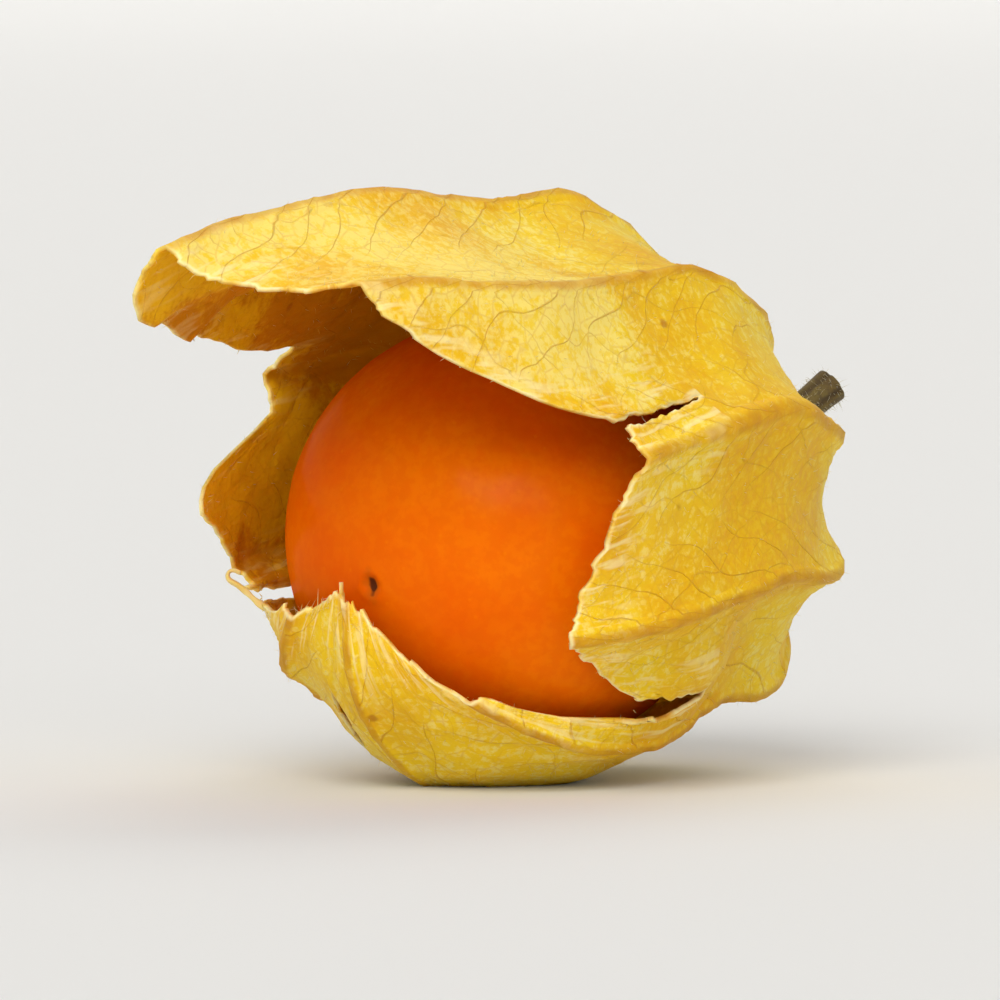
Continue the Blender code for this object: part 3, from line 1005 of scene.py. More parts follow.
@dataclass
class HuskWall(Piece):
    """The husk's wall as a fine thin shell: ribs, veins, creases, tears and a ragged rim."""

    form: HuskForm
    name: str = "papery_husk"
    slot: Slot = Slot.HUSK
    outer_face: float = 0.32 * MM
    hugging_in: float = 0.30 * MM
    hugging_from: float = 1.0 * MM
    hugging_over: float = 3.0 * MM
    wall: float = 0.20 * MM
    pane_columns: int = 36
    crowding: float = 0.6
    even_to: float = 21.0
    even_rows: int = 54
    stretched_rows: int = 70
    rib_heights: tuple[float, float] = (0.44 * MM, 0.29 * MM)
    rib_half_width: float = 0.13
    rib_foot_width: float = 0.42
    rib_crest: float = 0.35
    rib_flank: float = 0.50
    rib_flank_reach: float = 7.2
    relief_full_from: float = 5.0
    vein_runs: tuple[VeinRun, ...] = (VeinRun("veins", 3.3, -1.5, 1.0, 1.0, 0.055 * MM),
                                      VeinRun("crossing", 4.4, 1.6, -1.3, 0.7, 0.03 * MM))
    vein_half_width: float = 0.20
    vein_slope: float = 0.66
    vein_wander: tuple[Layer, ...] = ((4.0, 0.75, (5.0, 1.0, 2.0)), (1.6, 0.16, (1.0, 8.0, 3.0)))
    jump: float = 0.5
    jump_steps: tuple[float, float] = (12.9898, 4.1)
    net_from: float = 3.0
    net_over: float = 4.0
    net_strength: float = 1.15
    net_fade: float = 0.6
    seam_width: float = 0.22
    sheet_radius: float = 14.0
    streak_squeeze: float = 0.16
    creases: tuple[Layer, ...] = ((5.5, 0.24 * MM, (2.0, 6.0, 9.0)), (2.1, 0.14 * MM, (3.0, 6.0, 9.0)),
                                  (0.9, 0.055 * MM, (4.0, 6.0, 9.0)))
    crease_level: float = 0.30
    creases_over: float = 6.0
    tears: tuple[Tear, ...] = (Tear(69.8, 0.18, 1.0, 0.30, 0.35), Tear(138.2, 0.09, 1.0, 0.45, 0.45),
                               Tear(199.4, 0.45, 0.73, 0.50, 0.0), Tear(246.2, 0.27, 1.0, 0.40, 0.55))
    tear_reach: float = 3.6
    tear_jags: tuple[Layer, ...] = ((1.1, 0.75, (4.0, 0.5, 0.5)), (0.4, 0.45, (1.0, 0.5, 2.5)))
    lips_apart: float = 3.0
    slit_fray: float = 0.3
    least_out: float = 2.0 * MM
    patches: tuple[Layer, ...] = ((8.0 * MM, 1.0, (7.0, 2.0, 5.0)), (3.1 * MM, 0.5, (2.0, 9.0, 4.0)))
    mottles: tuple[Layer, ...] = ((1.25 * MM, 1.0, (6.0, 3.0, 1.0)), (0.6 * MM, 0.5, (1.0, 5.0, 9.0)))
    pale_lobe: float = 22.0
    pale_reach: tuple[float, float] = (62.0, 34.0)
    pale_lengths: tuple[float, float] = (20.0, 9.0)
    tone_mix: Span = (0.19, 0.55, 0.35, 0.22)
    # Weights of the ochre patches, partly stain and partly painted shade, which are kept off the pale top
    # lobe.
    stain_and_shade_mix: Span = (0.42, -0.30, -0.95, -0.25)

    def column_angles(self) -> Array:
        """Crowds the columns towards the ribs and puts one on each tear.

        Returns:
            The angles of the columns.
        """
        part = np.arange(self.pane_columns) / self.pane_columns
        eased_part = part - self.crowding * np.sin(2 * np.pi * part) / (2 * np.pi)
        pane = 360.0 / self.form.ribs
        starts = self.form.first_rib + pane * np.arange(self.form.ribs)
        columns = (starts[:, None] + pane * eased_part).ravel()
        for tear in self.tears:
            columns[self.column_of(tear, columns)] = tear.angle
        return columns

    @staticmethod
    def column_of(tear: Tear, columns: Array) -> int:
        """Number of the column nearest to a tear."""
        return int(np.argmin(np.abs(signed(columns - tear.angle))))

    def row_lengths(self, rim: Array) -> tuple[Array, Array]:
        """Length of each row at each column.

        Args:
            rim: Length of the rim at each column.

        Returns:
            Lengths by row and column, and each row's share: -1 at the hole, 0 where the rows
            start to stretch, and 1 at the rim.
        """
        even = np.linspace(0.0, self.even_to, self.even_rows + 1)[:, None] * np.ones_like(rim)
        part = np.linspace(0.0, 1.0, self.stretched_rows + 1)[1:]
        stretched = self.even_to + part[:, None] * (rim - self.even_to)
        share = np.concatenate([np.linspace(-1.0, 0.0, self.even_rows + 1), part])
        return np.concatenate([even, stretched]), share

    def sheet(self, angle: Array, length: Array) -> Array:
        """Places on an even tube, as if the husk were drawn straight."""
        turn = np.radians(angle)
        return np.stack([np.cos(turn) * self.sheet_radius, np.sin(turn) * self.sheet_radius, length], axis=-1)

    def lifted(self, angle: Array, length: Array) -> dict[str, Array]:
        """Ribs, veins and creases at places of the wall.

        Args:
            angle: Angles.
            length: Lengths.

        Returns:
            lift in metres, and what the finish reads: from_rib in mm, veins and crossing, whose
            whole numbers are the veins, and netted, how strongly they show.
        """
        form = self.form
        pane = 360.0 / form.ribs
        number = np.round((angle - form.first_rib) / pane)
        from_rib = angle - form.first_rib - number * pane
        to_middle = np.abs(from_rib) / (pane / 2)
        off = np.abs(np.radians(from_rib)) * form.meridian(angle, length)[..., 1] / MM
        flank = np.clip(1.0 - np.abs(from_rib) / self.rib_flank_reach, 0.0, 1.0) * self.rib_flank
        crest = self.rib_crest * bell(off, self.rib_half_width)
        foot = (1.0 - self.rib_crest) * bell(off, self.rib_foot_width)
        lift = np.where(number % 2 == 0, *self.rib_heights) * np.maximum(crest + foot, flank)
        sheet = self.sheet(angle, length)
        wander = layered(sheet, self.vein_wander)
        by_pane, by_side = self.jump_steps
        jump = np.sin(number * by_pane + np.sign(from_rib) * by_side) * self.jump
        grown = smooth((length - self.net_from) / self.net_over)
        netted = (grown * smooth((1.0 - to_middle) / self.seam_width)
                  * (self.net_strength - self.net_fade * to_middle))
        readings = {"from_rib": off, "netted": netted}
        for run in self.vein_runs:
            phase = (length + run.lean * off) / run.gap + run.wander * wander + run.jump * jump
            away = np.abs(phase - np.round(phase)) * run.gap * self.vein_slope
            lift = lift + netted * run.height * bell(away, self.vein_half_width)
            readings[run.name] = phase
        for size, depth, seed in self.creases:
            fold = self.crease_level - np.abs(grain(sheet, size, seed))
            lift = lift + depth * fold * smooth((length - self.net_from) / self.creases_over)
        return {"lift": lift * smooth(length / self.relief_full_from), **readings}

    def torn(self, angle: Array, length: Array, share: Array, right: bool) -> tuple[Array, Array, Array]:
        """Draws the wall aside along its tears.

        Args:
            angle: Angles, by row and column.
            length: Lengths, by row and column.
            share: Share of each row.
            right: Whether places on a tear's own line go to its right side.

        Returns:
            The angles drawn aside, the lift of the tears' right sides in metres, and how near the
            nearest tear is in mm.
        """
        drawn = angle.copy()
        lift = np.zeros_like(angle)
        near = np.full_like(angle, WELL_OFF)
        out = np.maximum(self.least_out, self.form.meridian(angle, length)[..., 1])
        for tear in self.tears:
            off = signed(angle - tear.angle)
            side = np.where(np.abs(off) < TINY, 1.0 if right else -1.0, np.sign(off))
            inside = tear.inside(share)[:, None]
            fade = np.clip(1.0 - np.abs(off) / self.tear_reach, 0.0, 1.0)
            lip = np.stack([length, np.full_like(length, tear.angle), side * self.lips_apart], axis=-1)
            gape = tear.gape(share)[:, None] * (1.0 + layered(lip, self.tear_jags)) * fade
            drawn += np.where(inside, side * np.degrees(tear.half_width * MM / out) * gape, 0.0)
            lift += np.where(inside & (side > 0), tear.lift * MM * tear.part(share)[:, None] * fade, 0.0)
            gone = np.abs(np.radians(off)) * out / MM / (self.slit_fray if tear.is_slit else 1.0)
            near = np.minimum(near, np.where(inside, gone, WELL_OFF))
        return drawn, lift, near

    def skin(self, angle: Array, length: Array, rim: Array, share: Array, right: bool) -> dict[str, Array]:
        """Places of the wall's middle, and what the finish reads there.

        Args:
            angle: Angles, by row and column.
            length: Lengths, by row and column.
            rim: Length of the rim, by column.
            share: Share of each row.
            right: Whether places on a tear's own line go to its right side.

        Returns:
            place and the readings, by row and column.
        """
        drawn, lift, near = self.torn(angle, length, share, right)
        fields = self.lifted(angle, length)
        place = self.form.places(drawn, length, fields.pop("lift") + lift)
        grown_from, grown_over = self.pale_lengths
        pale_to, pale_over = self.pale_reach
        pale = smooth((length - grown_from) / grown_over)
        pale = pale * smooth((pale_to - np.abs(signed(angle - self.pale_lobe))) / pale_over)
        mottle = layered(place, self.mottles)
        shades = np.stack([np.ones_like(pale), pale, layered(place, self.patches), mottle])
        # The stain reading is partly real stain and partly painted shade: ochre noise patches, fewer on the
        # pale top lobe.
        return {"place": place, "rim_near": np.minimum(rim - length, near), "mottle": 0.5 + 0.5 * mottle,
                "sheet": self.sheet(angle, length * self.streak_squeeze),
                "tone": np.tensordot(self.tone_mix, shades, 1),
                "stain_and_shade": smooth(np.tensordot(self.stain_and_shade_mix, shades, 1)), **fields}

    def shape(self) -> Shape:
        """Works out the shell. Points on a tear are doubled, and the spare ones go to its right side.

        Returns:
            The shape.
        """
        columns = self.column_angles()
        rim = self.form.rim_length(columns)
        length, share = self.row_lengths(rim)
        angle = np.broadcast_to(columns, length.shape)
        left, right = (self.skin(angle, length, rim, share, side) for side in (False, True))
        rows, count = length.shape
        numbers = np.arange(rows * count).reshape(rows, count)
        doubled = numbers.copy()
        spare: list[int] = []
        for tear in self.tears:
            column = self.column_of(tear, columns)
            inside = np.flatnonzero(tear.inside(share))
            doubled[inside, column] = rows * count + len(spare) + np.arange(len(inside))
            spare += numbers[inside, column].tolist()
        fields = {name: np.concatenate([values.reshape(rows * count, -1),
                                        right[name].reshape(rows * count, -1)[spare]])
                  for name, values in left.items()}
        after = np.roll(numbers, -1, axis=1)
        faces = np.stack([doubled[:-1], doubled[1:], after[1:], after[:-1]], axis=-1).reshape(-1, 4)
        return self.shell(fields, faces)

    def shell(self, fields: dict[str, Array], faces: Array) -> Shape:
        """Gives the skin its thickness.

        Args:
            fields: place and the readings, one row a point.
            faces: Point numbers, four a face, facing out.

        Returns:
            The shape.
        """
        middle = fields.pop("place")
        corners = middle[faces]
        facing = np.cross(corners[:, 2] - corners[:, 0], corners[:, 3] - corners[:, 1])
        normals = np.zeros_like(middle)
        for corner in range(4):
            np.add.at(normals, faces[:, corner], facing)
        normals = unit(normals)
        above = smooth((middle[:, 2] - self.hugging_from) / self.hugging_over)
        hugging = self.form.hugging(middle) * above
        outer = middle + normals * (self.outer_face - self.hugging_in * hugging)[:, None]
        inner = outer - normals * self.wall
        outer[:, 2] = np.maximum(outer[:, 2], 0.0)
        inner[:, 2] = np.maximum(inner[:, 2], self.wall)
        count = len(middle)
        edges = dict.fromkeys(edge for face in faces.tolist() for edge in zip(face, face[1:] + face[:1]))
        rims = [(b, a, a + count, b + count) for a, b in edges if (b, a) not in edges]
        readings = {name: np.concatenate([values] * 2).squeeze() for name, values in fields.items()}
        readings["inner"] = np.repeat([0.0, 1.0], count)
        skins = np.concatenate([faces, faces[:, ::-1] + count]).tolist()
        return Shape(np.concatenate([outer, inner]), [*map(tuple, skins), *rims], readings)


@dataclass
class Berry(Piece):
    """The round fruit, with a scar at its tip and a dimple at its base."""

    lie: FruitLie
    name: str = "waxy_berry"
    slot: Slot = Slot.BERRY
    radius: float = 10.4 * MM
    lengthening: float = 0.985
    dimple_depth: float = 0.9 * MM
    dimple_spread: float = math.radians(13)
    scar_depth: float = 0.25 * MM
    scar_spread: float = math.radians(3.0)
    scar_height: float = 1.3
    scar_width: float = 0.75
    scar_zone: float = 1.0
    collar_height: float = 0.10 * MM
    collar_at: float = 0.062
    collar_spread: float = 0.022
    swells: tuple[Layer, ...] = ((0.5, 0.07 * MM, (4.0, 4.0, 1.0)), (0.12, 0.02 * MM, (2.0, 5.0, 7.0)))
    rows: int = 120
    columns: int = 192
    crowding: float = 0.45

    def reach(self, from_tip: Array) -> Array:
        """Finds how far the skin is from the berry's middle.

        Args:
            from_tip: Angles from the tip, in radians.

        Returns:
            The distances, in metres.
        """
        round_part = np.hypot(np.sin(from_tip), np.cos(from_tip) * self.lengthening)
        dimple = self.dimple_depth * bell(np.pi - from_tip, self.dimple_spread)
        scar = self.scar_depth * bell(from_tip, self.scar_spread)
        collar = self.collar_height * bell(from_tip - self.collar_at, self.collar_spread)
        return self.radius * round_part - dimple - scar + collar

    def shape(self) -> Shape:
        """Works out the skin, its rows crowded towards the tip and the base.

        Returns:
            The shape.
        """
        even = np.arange(1, self.rows) / self.rows
        from_tip = np.pi * (even - self.crowding * np.sin(2 * np.pi * even) / (2 * np.pi))
        turn = 360.0 * np.arange(self.columns) / self.columns
        heading = (self.lie.axis * np.cos(from_tip)[:, None, None]
                   + self.lie.around(turn)[None] * np.sin(from_tip)[:, None, None])
        heading = np.concatenate([heading.reshape(-1, 3), [self.lie.axis], [-self.lie.axis]])
        tilt = np.concatenate([np.repeat(from_tip, self.columns), [0.0, np.pi]])
        reach = self.reach(tilt) + layered(heading, self.swells)
        upright = heading @ self.lie.top / self.scar_height
        level = heading @ self.lie.side / self.scar_width
        off_tip = np.where(tilt < self.scar_zone, np.hypot(upright, level) * self.radius / MM, WELL_OFF)
        off_base = (np.pi - tilt) * self.radius / MM
        return Shape(self.lie.middle + heading * reach[:, None],
                     ring_faces(self.rows - 1, self.columns, inward=False),
                     {"off_tip": off_tip, "off_base": off_base})


@dataclass
class Stem(Piece):
    """The fruit stalk: a knob in the berry's dimple, a grooved stalk, and its cut end."""

    lie: FruitLie
    name: str = "grooved_stem"
    slot: Slot = Slot.STEM
    radius: float = 0.70 * MM
    cut_radius: float = 0.86 * MM
    flares_from: float = 0.84
    knob_radius: float = 1.30 * MM
    knob_face: float = 10.25 * MM
    knob_back: float = 10.85 * MM
    knob_edge: float = 0.15 * MM
    knob_rounding: float = 0.18
    neck_end: float = 11.30 * MM
    straight: float = 14.5 * MM
    length: float = 24.5 * MM
    bend: float = math.radians(34)
    bend_towards: float = 38.0
    lumps: float = 0.05
    lump_rates: tuple[float, float] = (1.7, 0.63)
    lump_shift: float = 1.0
    grooves: int = 5
    groove_depth: float = 0.11
    groove_from: float = 0.15
    twist: float = 0.9
    roughness: tuple[Layer, ...] = ((0.8 * MM, 0.035 * MM, (3.0, 3.0, 8.0)),)
    cut_insets: tuple[float, float] = (0.12, 0.55)
    cut_rises: tuple[float, float] = (0.07 * MM, 0.02 * MM)
    cut_hollow: float = 0.12 * MM
    sides: int = 60
    steps: int = 150

    def centre_line(self) -> tuple[Array, Array, Array]:
        """Follows the stem from its knob to its cut.

        Returns:
            Places, headings and lengths from the berry's middle along the stem.
        """
        along = np.linspace(self.knob_face, self.length, self.steps)
        turn = self.bend * smooth((along - self.straight) / (self.length - self.straight))
        towards = self.lie.around(self.bend_towards)
        heading = -self.lie.axis * np.cos(turn)[:, None] + towards * np.sin(turn)[:, None]
        step = np.diff(along, prepend=along[0])[:, None]
        places = self.lie.middle - self.lie.axis * self.knob_face + np.cumsum(heading * step, axis=0)
        return places, heading, along

    def radii(self, along: Array) -> Array:
        """Finds how thick the stem is: wide at the knob and the cut, and a little lumpy.

        Args:
            along: Lengths from the berry's middle.

        Returns:
            The radii, in metres.
        """
        knob = smooth((self.neck_end - along) / (self.neck_end - self.knob_back))
        flare = smooth((along / self.length - self.flares_from) / (1.0 - self.flares_from))
        radius = (self.radius + (self.knob_radius - self.radius) * knob
                  + (self.cut_radius - self.radius) * flare)
        edge = smooth((self.knob_face + self.knob_edge - along) / self.knob_edge)
        fast, slow = self.lump_rates
        lumps = np.sin(along / MM * fast) * np.sin(along / MM * slow + self.lump_shift)
        return radius * (1.0 - self.knob_rounding * edge) * (1.0 + self.lumps * lumps)

    def shape(self) -> Shape:
        """Works out the stalk as rings along its centre line, and the two rings of its cut.

        Returns:
            The shape.
        """
        places, heading, along = self.centre_line()
        turn = evenly_round(self.sides)
        spiral = self.grooves * (turn[None] + self.twist * (along / self.length)[:, None])
        groove = smooth((np.cos(spiral) - self.groove_from) / (1.0 - self.groove_from))
        across = unit(np.cross(heading, self.lie.side))[:, None]
        beside = np.cross(across, heading[:, None])
        out = self.radii(along)[:, None] * (1.0 - self.groove_depth * groove)
        rings = (places[:, None] + (across * np.cos(turn)[None, :, None]
                                    + beside * np.sin(turn)[None, :, None]) * out[..., None])
        rings = rings + layered(rings, self.roughness)[..., None] * unit(rings - places[:, None])
        insets, rises = (np.array(pair)[:, None, None] for pair in (self.cut_insets, self.cut_rises))
        cut = rings[-1] + (places[-1] - rings[-1]) * insets + heading[-1] * rises
        rings = np.concatenate([rings, cut])
        closing = np.array([places[0], places[-1] - heading[-1] * self.cut_hollow])
        cut_points = len(cut) * self.sides
        readings = {"groove": np.concatenate([groove.ravel(), np.zeros(cut_points + 2)]),
                    "cut_near": np.concatenate([np.zeros(groove.size), np.ones(cut_points), [0.0, 1.0]])}
        return Shape(np.concatenate([rings.reshape(-1, 3), closing]),
                     ring_faces(len(rings), self.sides, inward=True), readings)


@dataclass(frozen=True)
class Strands:
    """Thin closed strands with three sides each, that run out to a point.

    ways says where they head, and sag how they bend, as the shift of the tip in parts of the length.
    """

    roots: Array
    ways: Array
    sag: Array
    lengths: Array
    radii: Array
    flatness: float
    stations: int
    sides: int = 3
    off_straight: tuple[float, float, float] = (0.013, 0.027, 0.031)

    def faces(self) -> Faces:
        """Joins the points of each strand, in rings that end in one tip.

        Returns:
            The point numbers of the faces of all strands.
        """
        sides, last = self.sides, (self.stations - 1) * self.sides
        one: Faces = [tuple(reversed(range(sides)))]
        for side in range(sides):
            ahead = (side + 1) % sides
            one += [(ring + side, ring + ahead, ring + sides + ahead, ring + sides + side)
                    for ring in range(0, last, sides)]
            one.append((last + side, last + ahead, last + sides))
        count = last + sides + 1
        return [tuple(number + strand * count for number in face)
                for strand in range(len(self.roots)) for face in one]

    def points(self) -> Array:
        """Works out the rings and the tip of each strand.

        Returns:
            The places of all points, strand by strand.
        """
        part = np.arange(self.stations) / self.stations
        line = (self.roots[:, None] + self.ways[:, None] * (self.lengths[:, None] * part)[..., None]
                + self.sag[:, None] * (self.lengths[:, None] * part ** 2)[..., None])
        tips = self.roots + (self.ways + self.sag) * self.lengths[:, None]
        across = unit(np.cross(self.ways, self.sag + np.array(self.off_straight)))
        beside = np.cross(self.ways, across)
        turn = evenly_round(self.sides)
        wide = self.radii[:, None] * np.sqrt(1.0 - part)
        ring = (across[:, None, None] * (np.cos(turn)[None, None, :, None] * self.flatness)
                + beside[:, None, None] * np.sin(turn)[None, None, :, None])
        points = line[:, :, None] + ring * wide[..., None, None]
        return np.concatenate([points.reshape(len(self.roots), -1, 3), tips[:, None]], axis=1).reshape(-1, 3)


@dataclass
class Down(Piece):
    """Short fine hairs that stand on a piece."""

    host: Object
    name: str
    slot: Slot
    hairs: int
    shortest: float
    longest: float
    seed: int = 5
    thickness: float = 0.011 * MM
    lean: float = 0.35
    sag: float = 0.35
    least_height: float = 0.02 * MM
    stations: int = 2

    def shape(self) -> Shape:
        """Works out the hairs, at chance places with a fixed seed.

        Returns:
            The shape.
        """
        mesh = self.host.data
        chance = np.random.default_rng(self.seed)
        places = np.empty(len(mesh.vertices) * 3)
        mesh.vertices.foreach_get("co", places)
        faces = np.array([tuple(face.vertices)[:3] for face in mesh.polygons])
        corners = places.reshape(-1, 3)[faces]
        facing = np.cross(corners[:, 1] - corners[:, 0], corners[:, 2] - corners[:, 0])
        area = np.linalg.norm(facing, axis=1)
        picked = chance.choice(len(faces), self.hairs, p=area / area.sum())
        first, second = chance.random((2, self.hairs, 1))
        a, b, c = np.moveaxis(corners[picked], 1, 0)
        roots = a + (b - a) * first + (c - a) * second * (1 - first)
        ways = unit(unit(facing[picked]) + chance.normal(0.0, self.lean, (self.hairs, 3)))
        sag = chance.normal(0.0, self.sag, (self.hairs, 3))
        lengths = chance.uniform(self.shortest, self.longest, self.hairs)
        held = roots[:, 2] + (ways + sag)[:, 2] * lengths > self.least_height
        hairs = Strands(roots[held], ways[held], sag[held], lengths[held],
                        np.full(held.sum(), self.thickness), 1.0, self.stations)
        return Shape(hairs.points(), hairs.faces())


@dataclass(frozen=True)
class CurledShred:
    """A narrow shred of the husk at the flap's corner, rolled up lengthways, with a hooked end."""

    form: HuskForm
    angle: float = 241.0
    back: float = 0.9
    heading: tuple[float, float, float] = (-0.90, -0.08, 0.43)
    length: float = 3.3 * MM
    curl: float = math.radians(205)
    curls_from: float = 0.62
    sway: float = 0.35
    sway_rate: float = 5.0
    radius: float = 0.17 * MM
    taper: float = 0.45
    lumps: float = 0.18
    lump_rates: tuple[float, float] = (17.0, 6.0)
    folds: int = 3
    fold_depth: float = 0.22
    fold_twist: float = 7.0
    tip: float = 0.4
    stations: int = 40
    sides: int = 10

    def points(self) -> Array:
        """Curls the shred away from the rim, with folds along it.

        Returns:
            The places of its points, ring by ring, and of the two that close its ends.
        """
        angle = np.array([self.angle])
        start = self.form.places(angle, self.form.rim_length(angle) - self.back, np.zeros(1))[0]
        heading = unit(np.array(self.heading))
        level = unit(np.cross(heading, np.array([0.0, 0.0, 1.0])))
        rise = np.cross(level, heading)
        part = np.linspace(0.0, 1.0, self.stations)
        turn = self.curl * smooth((part - self.curls_from) / (1.0 - self.curls_from))
        turn = turn + self.sway * np.sin(part * self.sway_rate)
        way = heading * np.cos(turn)[:, None] + rise * np.sin(turn)[:, None]
        line = start + np.cumsum(way, axis=0) * (self.length / self.stations)
        across = rise * np.cos(turn)[:, None] - heading * np.sin(turn)[:, None]
        fast, slow = self.lump_rates
        lumps = 1.0 + self.lumps * np.sin(part * fast) * np.sin(part * slow)
        radius = self.radius * (1.0 - self.taper * part) * lumps
        round_way = evenly_round(self.sides)
        folds = np.cos(self.folds * round_way[None] + part[:, None] * self.fold_twist)
        folded = radius[:, None] * (1.0 + self.fold_depth * folds)
        rings = (line[:, None] + across[:, None] * (np.cos(round_way)[None] * folded)[..., None]
                 + level * (np.sin(round_way)[None] * folded)[..., None])
        closing = [line[0], line[-1] + way[-1] * self.radius * self.tip]
        return np.concatenate([rings.reshape(-1, 3), closing])


@dataclass
class TornFibres(Piece):
    """Fibres that stand out of the husk's torn rim, and a shred that curls from the flap's corner."""

    form: HuskForm
    name: str = "torn_fibres"
    slot: Slot = Slot.HUSK
    fibres: int = 190
    shredded: tuple[float, float] = (200.0, 248.0)
    share_in_shreds: float = 0.30
    longer_in_shreds: float = 1.7
    back: tuple[float, float] = (0.1, 0.6)
    outside: float = 0.22 * MM
    heading_over: float = 1.2
    stray: float = 0.45
    sag: float = 0.65
    lengths: tuple[float, float] = (0.10, 0.30)
    radii: tuple[float, float] = (0.006, 0.018)
    least_height: float = 0.05 * MM
    flatness: float = 2.2
    stations: int = 5
    seed: int = 11

    def strands(self) -> Strands:
        """Draws the fibres at chance places, with a fixed seed.

        Returns:
            The fibres that stay clear of the floor.
        """
        chance = np.random.default_rng(self.seed)
        anywhere = chance.uniform(0.0, 360.0, self.fibres)
        shredded = chance.uniform(*self.shredded, self.fibres)
        in_shreds = chance.random(self.fibres) < self.share_in_shreds
        angle = np.where(in_shreds, shredded, anywhere)
        rim = self.form.rim_length(angle)
        root = rim - chance.uniform(*self.back, self.fibres)
        flat = np.zeros(self.fibres)
        roots = self.form.places(angle, root, flat) + self.form.outward(angle, root) * self.outside
        before = self.form.places(angle, rim - self.heading_over, flat)
        ahead = unit(self.form.places(angle, rim, flat) - before)
        ways = unit(ahead + chance.normal(0.0, self.stray, (self.fibres, 3)))
        sag = chance.normal(0.0, self.sag, (self.fibres, 3))
        longer = np.where(in_shreds, self.longer_in_shreds, 1.0)
        lengths = chance.uniform(*self.lengths, self.fibres) * longer * MM
        radii = chance.uniform(*self.radii, self.fibres) * MM
        held = roots[:, 2] + np.minimum(0.0, (ways + sag)[:, 2]) * lengths > self.least_height
        return Strands(roots[held], ways[held], sag[held], lengths[held], radii[held], self.flatness,
                       self.stations)

    def shape(self) -> Shape:
        """Works out the fibres and the shred.

        Returns:
            The shape.
        """
        strands, shred = self.strands(), CurledShred(self.form)
        points = strands.points()
        shred_faces = ring_faces(shred.stations, shred.sides, inward=True)
        faces = strands.faces() + [tuple(number + len(points) for number in face) for face in shred_faces]
        return Shape(np.concatenate([points, shred.points()]), faces)


def turned_back(thing: Object, azimuth: float, height: float) -> Vector:
    """Turns a light or a camera to look back from a direction.

    Args:
        thing: The light or the camera.
        azimuth: Degrees from the front, towards the right.
        height: Degrees above level.

    Returns:
        The direction, with length 1.
    """
    turn, lift = math.radians(azimuth), math.radians(height)
    back = Vector((math.sin(turn) * math.cos(lift), -math.cos(turn) * math.cos(lift), math.sin(lift)))
    thing.rotation_mode = "QUATERNION"
    thing.rotation_quaternion = (-back).to_track_quat("-Z", "Y")
    return back


@dataclass(frozen=True)
class SoftLight:
    """A soft light from far off.

    azimuth and height say where it is, in degrees, softness how many degrees it spans, and strength
    is in watts a square metre.
    """

    name: str
    azimuth: float
    height: float
    softness: float
    strength: float
    colour: Colour

    def build(self) -> None:
        """Adds the light."""
        lamp = bpy.data.lights.new(self.name, "SUN")
        lamp.angle = math.radians(self.softness)
        lamp.energy = self.strength
        lamp.color = self.colour
        turned_back(placed(self.name, lamp), self.azimuth, self.height)


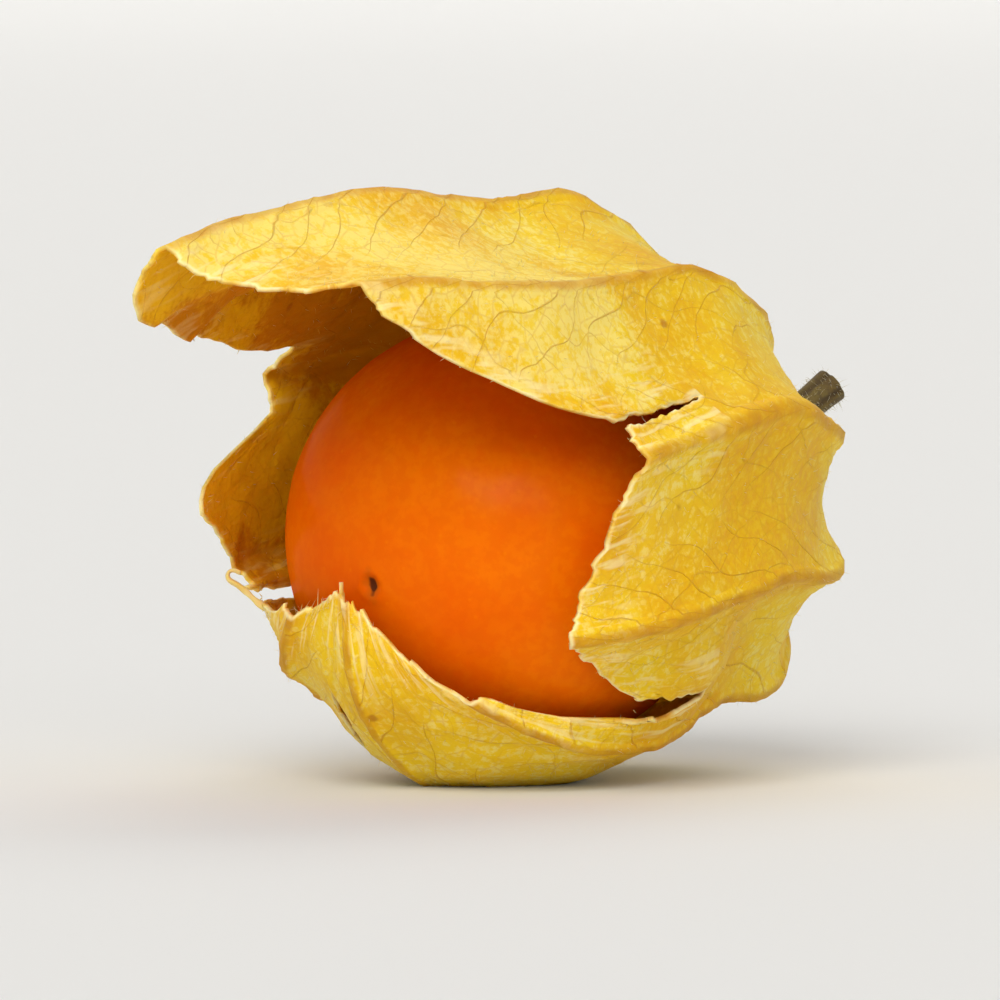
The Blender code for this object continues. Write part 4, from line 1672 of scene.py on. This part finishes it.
@dataclass
class Studio:
    """A wide pale floor that rises smoothly far off all round, and soft light."""

    floor_rings: tuple[float, ...] = (0.05, 0.3, 1.5)
    floor_reach: float = 5.0
    rise: float = 2.0
    bend_steps: int = 17
    sides: int = 96
    floor_colour: Colour = (0.83, 0.825, 0.81)
    surroundings: float = 0.44
    lights: tuple[SoftLight, ...] = (
        SoftLight("key", -12.0, 40.0, 36.0, 1.60, (1.0, 0.985, 0.96)),
        SoftLight("front", 4.0, 9.0, 44.0, 1.45, (1.0, 1.0, 1.0)),
        SoftLight("back_glow", 165.0, 52.0, 45.0, 0.50, (1.0, 0.97, 0.90)))

    def build_floor(self) -> None:
        """Builds the floor with its rising rim."""
        bend = np.linspace(0.0, math.pi / 2, self.bend_steps)
        out = np.concatenate([self.floor_rings, self.floor_reach + self.rise * np.sin(bend)])
        up = np.concatenate([np.zeros(len(self.floor_rings)), self.rise * (1 - np.cos(bend))])
        turn = evenly_round(self.sides)
        rings = np.stack([out[:, None] * np.cos(turn), out[:, None] * np.sin(turn),
                          up[:, None] * np.ones_like(turn)], axis=-1)
        faces: Faces = [tuple(range(self.sides))]
        for low in range(0, (len(out) - 1) * self.sides, self.sides):
            high = low + self.sides
            faces += [(low + side, high + side, high + (side + 1) % self.sides, low + (side + 1) % self.sides)
                      for side in range(self.sides)]
        board = ShaderBoard("pale_floor")
        board.set(Base_Color=(*self.floor_colour, 1.0), Roughness=0.8, Specular_IOR_Level=0.2)
        smooth_mesh("floor", rings.reshape(-1, 3), faces, board.material)

    def build_light(self) -> None:
        """Sets the lights and the bright surroundings."""
        for light in self.lights:
            light.build()
        scene = bpy.context.scene
        scene.world = bpy.data.worlds.new("white_surroundings")
        scene.world.use_nodes = True
        background = scene.world.node_tree.nodes["Background"]
        background.inputs["Color"].default_value = (1.0, 1.0, 1.0, 1.0)
        background.inputs["Strength"].default_value = self.surroundings
        scene.view_settings.view_transform = "Standard"
        scene.cycles.max_bounces = 6
        scene.cycles.diffuse_bounces = 3
        scene.cycles.glossy_bounces = 2


@dataclass
class Viewpoint:
    """The camera, low in front of the fruit and far enough off to flatten it."""

    aim: tuple[float, float, float] = (-0.3 * MM, 0.0, 13.2 * MM)
    distance: float = 0.50
    azimuth: float = 0.0
    height: float = 3.0
    lens: float = 385.0
    clip: tuple[float, float] = (0.01, 50.0)

    def build(self) -> None:
        """Makes the camera."""
        camera = placed("viewpoint", bpy.data.cameras.new("viewpoint"))
        back = turned_back(camera, self.azimuth, self.height)
        camera.data.lens = self.lens
        camera.data.clip_start, camera.data.clip_end = self.clip
        camera.location = Vector(self.aim) + back * self.distance
        bpy.context.scene.camera = camera


def main() -> None:
    """Builds and dresses the fruit, its floor, its light and its view."""
    logging.basicConfig(level=logging.INFO, format="%(message)s")
    lie = FruitLie()
    form = HuskForm(lie)
    husk = HuskWall(form).build(HuskFinish().make())
    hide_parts("husk")
    berry = Berry(lie).build(BerrySkinFinish().make())
    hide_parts("berry")
    stem = Stem(lie).build(StemFinish().make())
    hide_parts("stem")
    pale_down = DownFinish("pale_down", pale=(0.90, 0.80, 0.50), warm=(0.80, 0.60, 0.22)).make()
    husk_down = Down(husk, "husk_down", Slot.HUSK, hairs=4200, shortest=0.10 * MM,
                     longest=0.30 * MM).build(pale_down)
    stem_hair = DownFinish("stem_down", pale=(0.60, 0.52, 0.32), warm=(0.34, 0.25, 0.10)).make()
    stem_down = Down(stem, "stem_down", Slot.STEM, hairs=900, shortest=0.16 * MM,
                     longest=0.45 * MM, seed=7).build(stem_hair)
    torn_fibre = DownFinish("torn_fibre", pale=(0.92, 0.76, 0.34), warm=(0.86, 0.56, 0.06)).make()
    fibres = TornFibres(form).build(torn_fibre)
    for piece in (husk, berry, stem, husk_down, stem_down, fibres):
        log.info("%s: %d faces", piece.name, len(piece.data.polygons))
    studio = Studio()
    studio.build_floor()
    studio.build_light()
    Viewpoint().build()


if __name__ == "__main__":
    main()
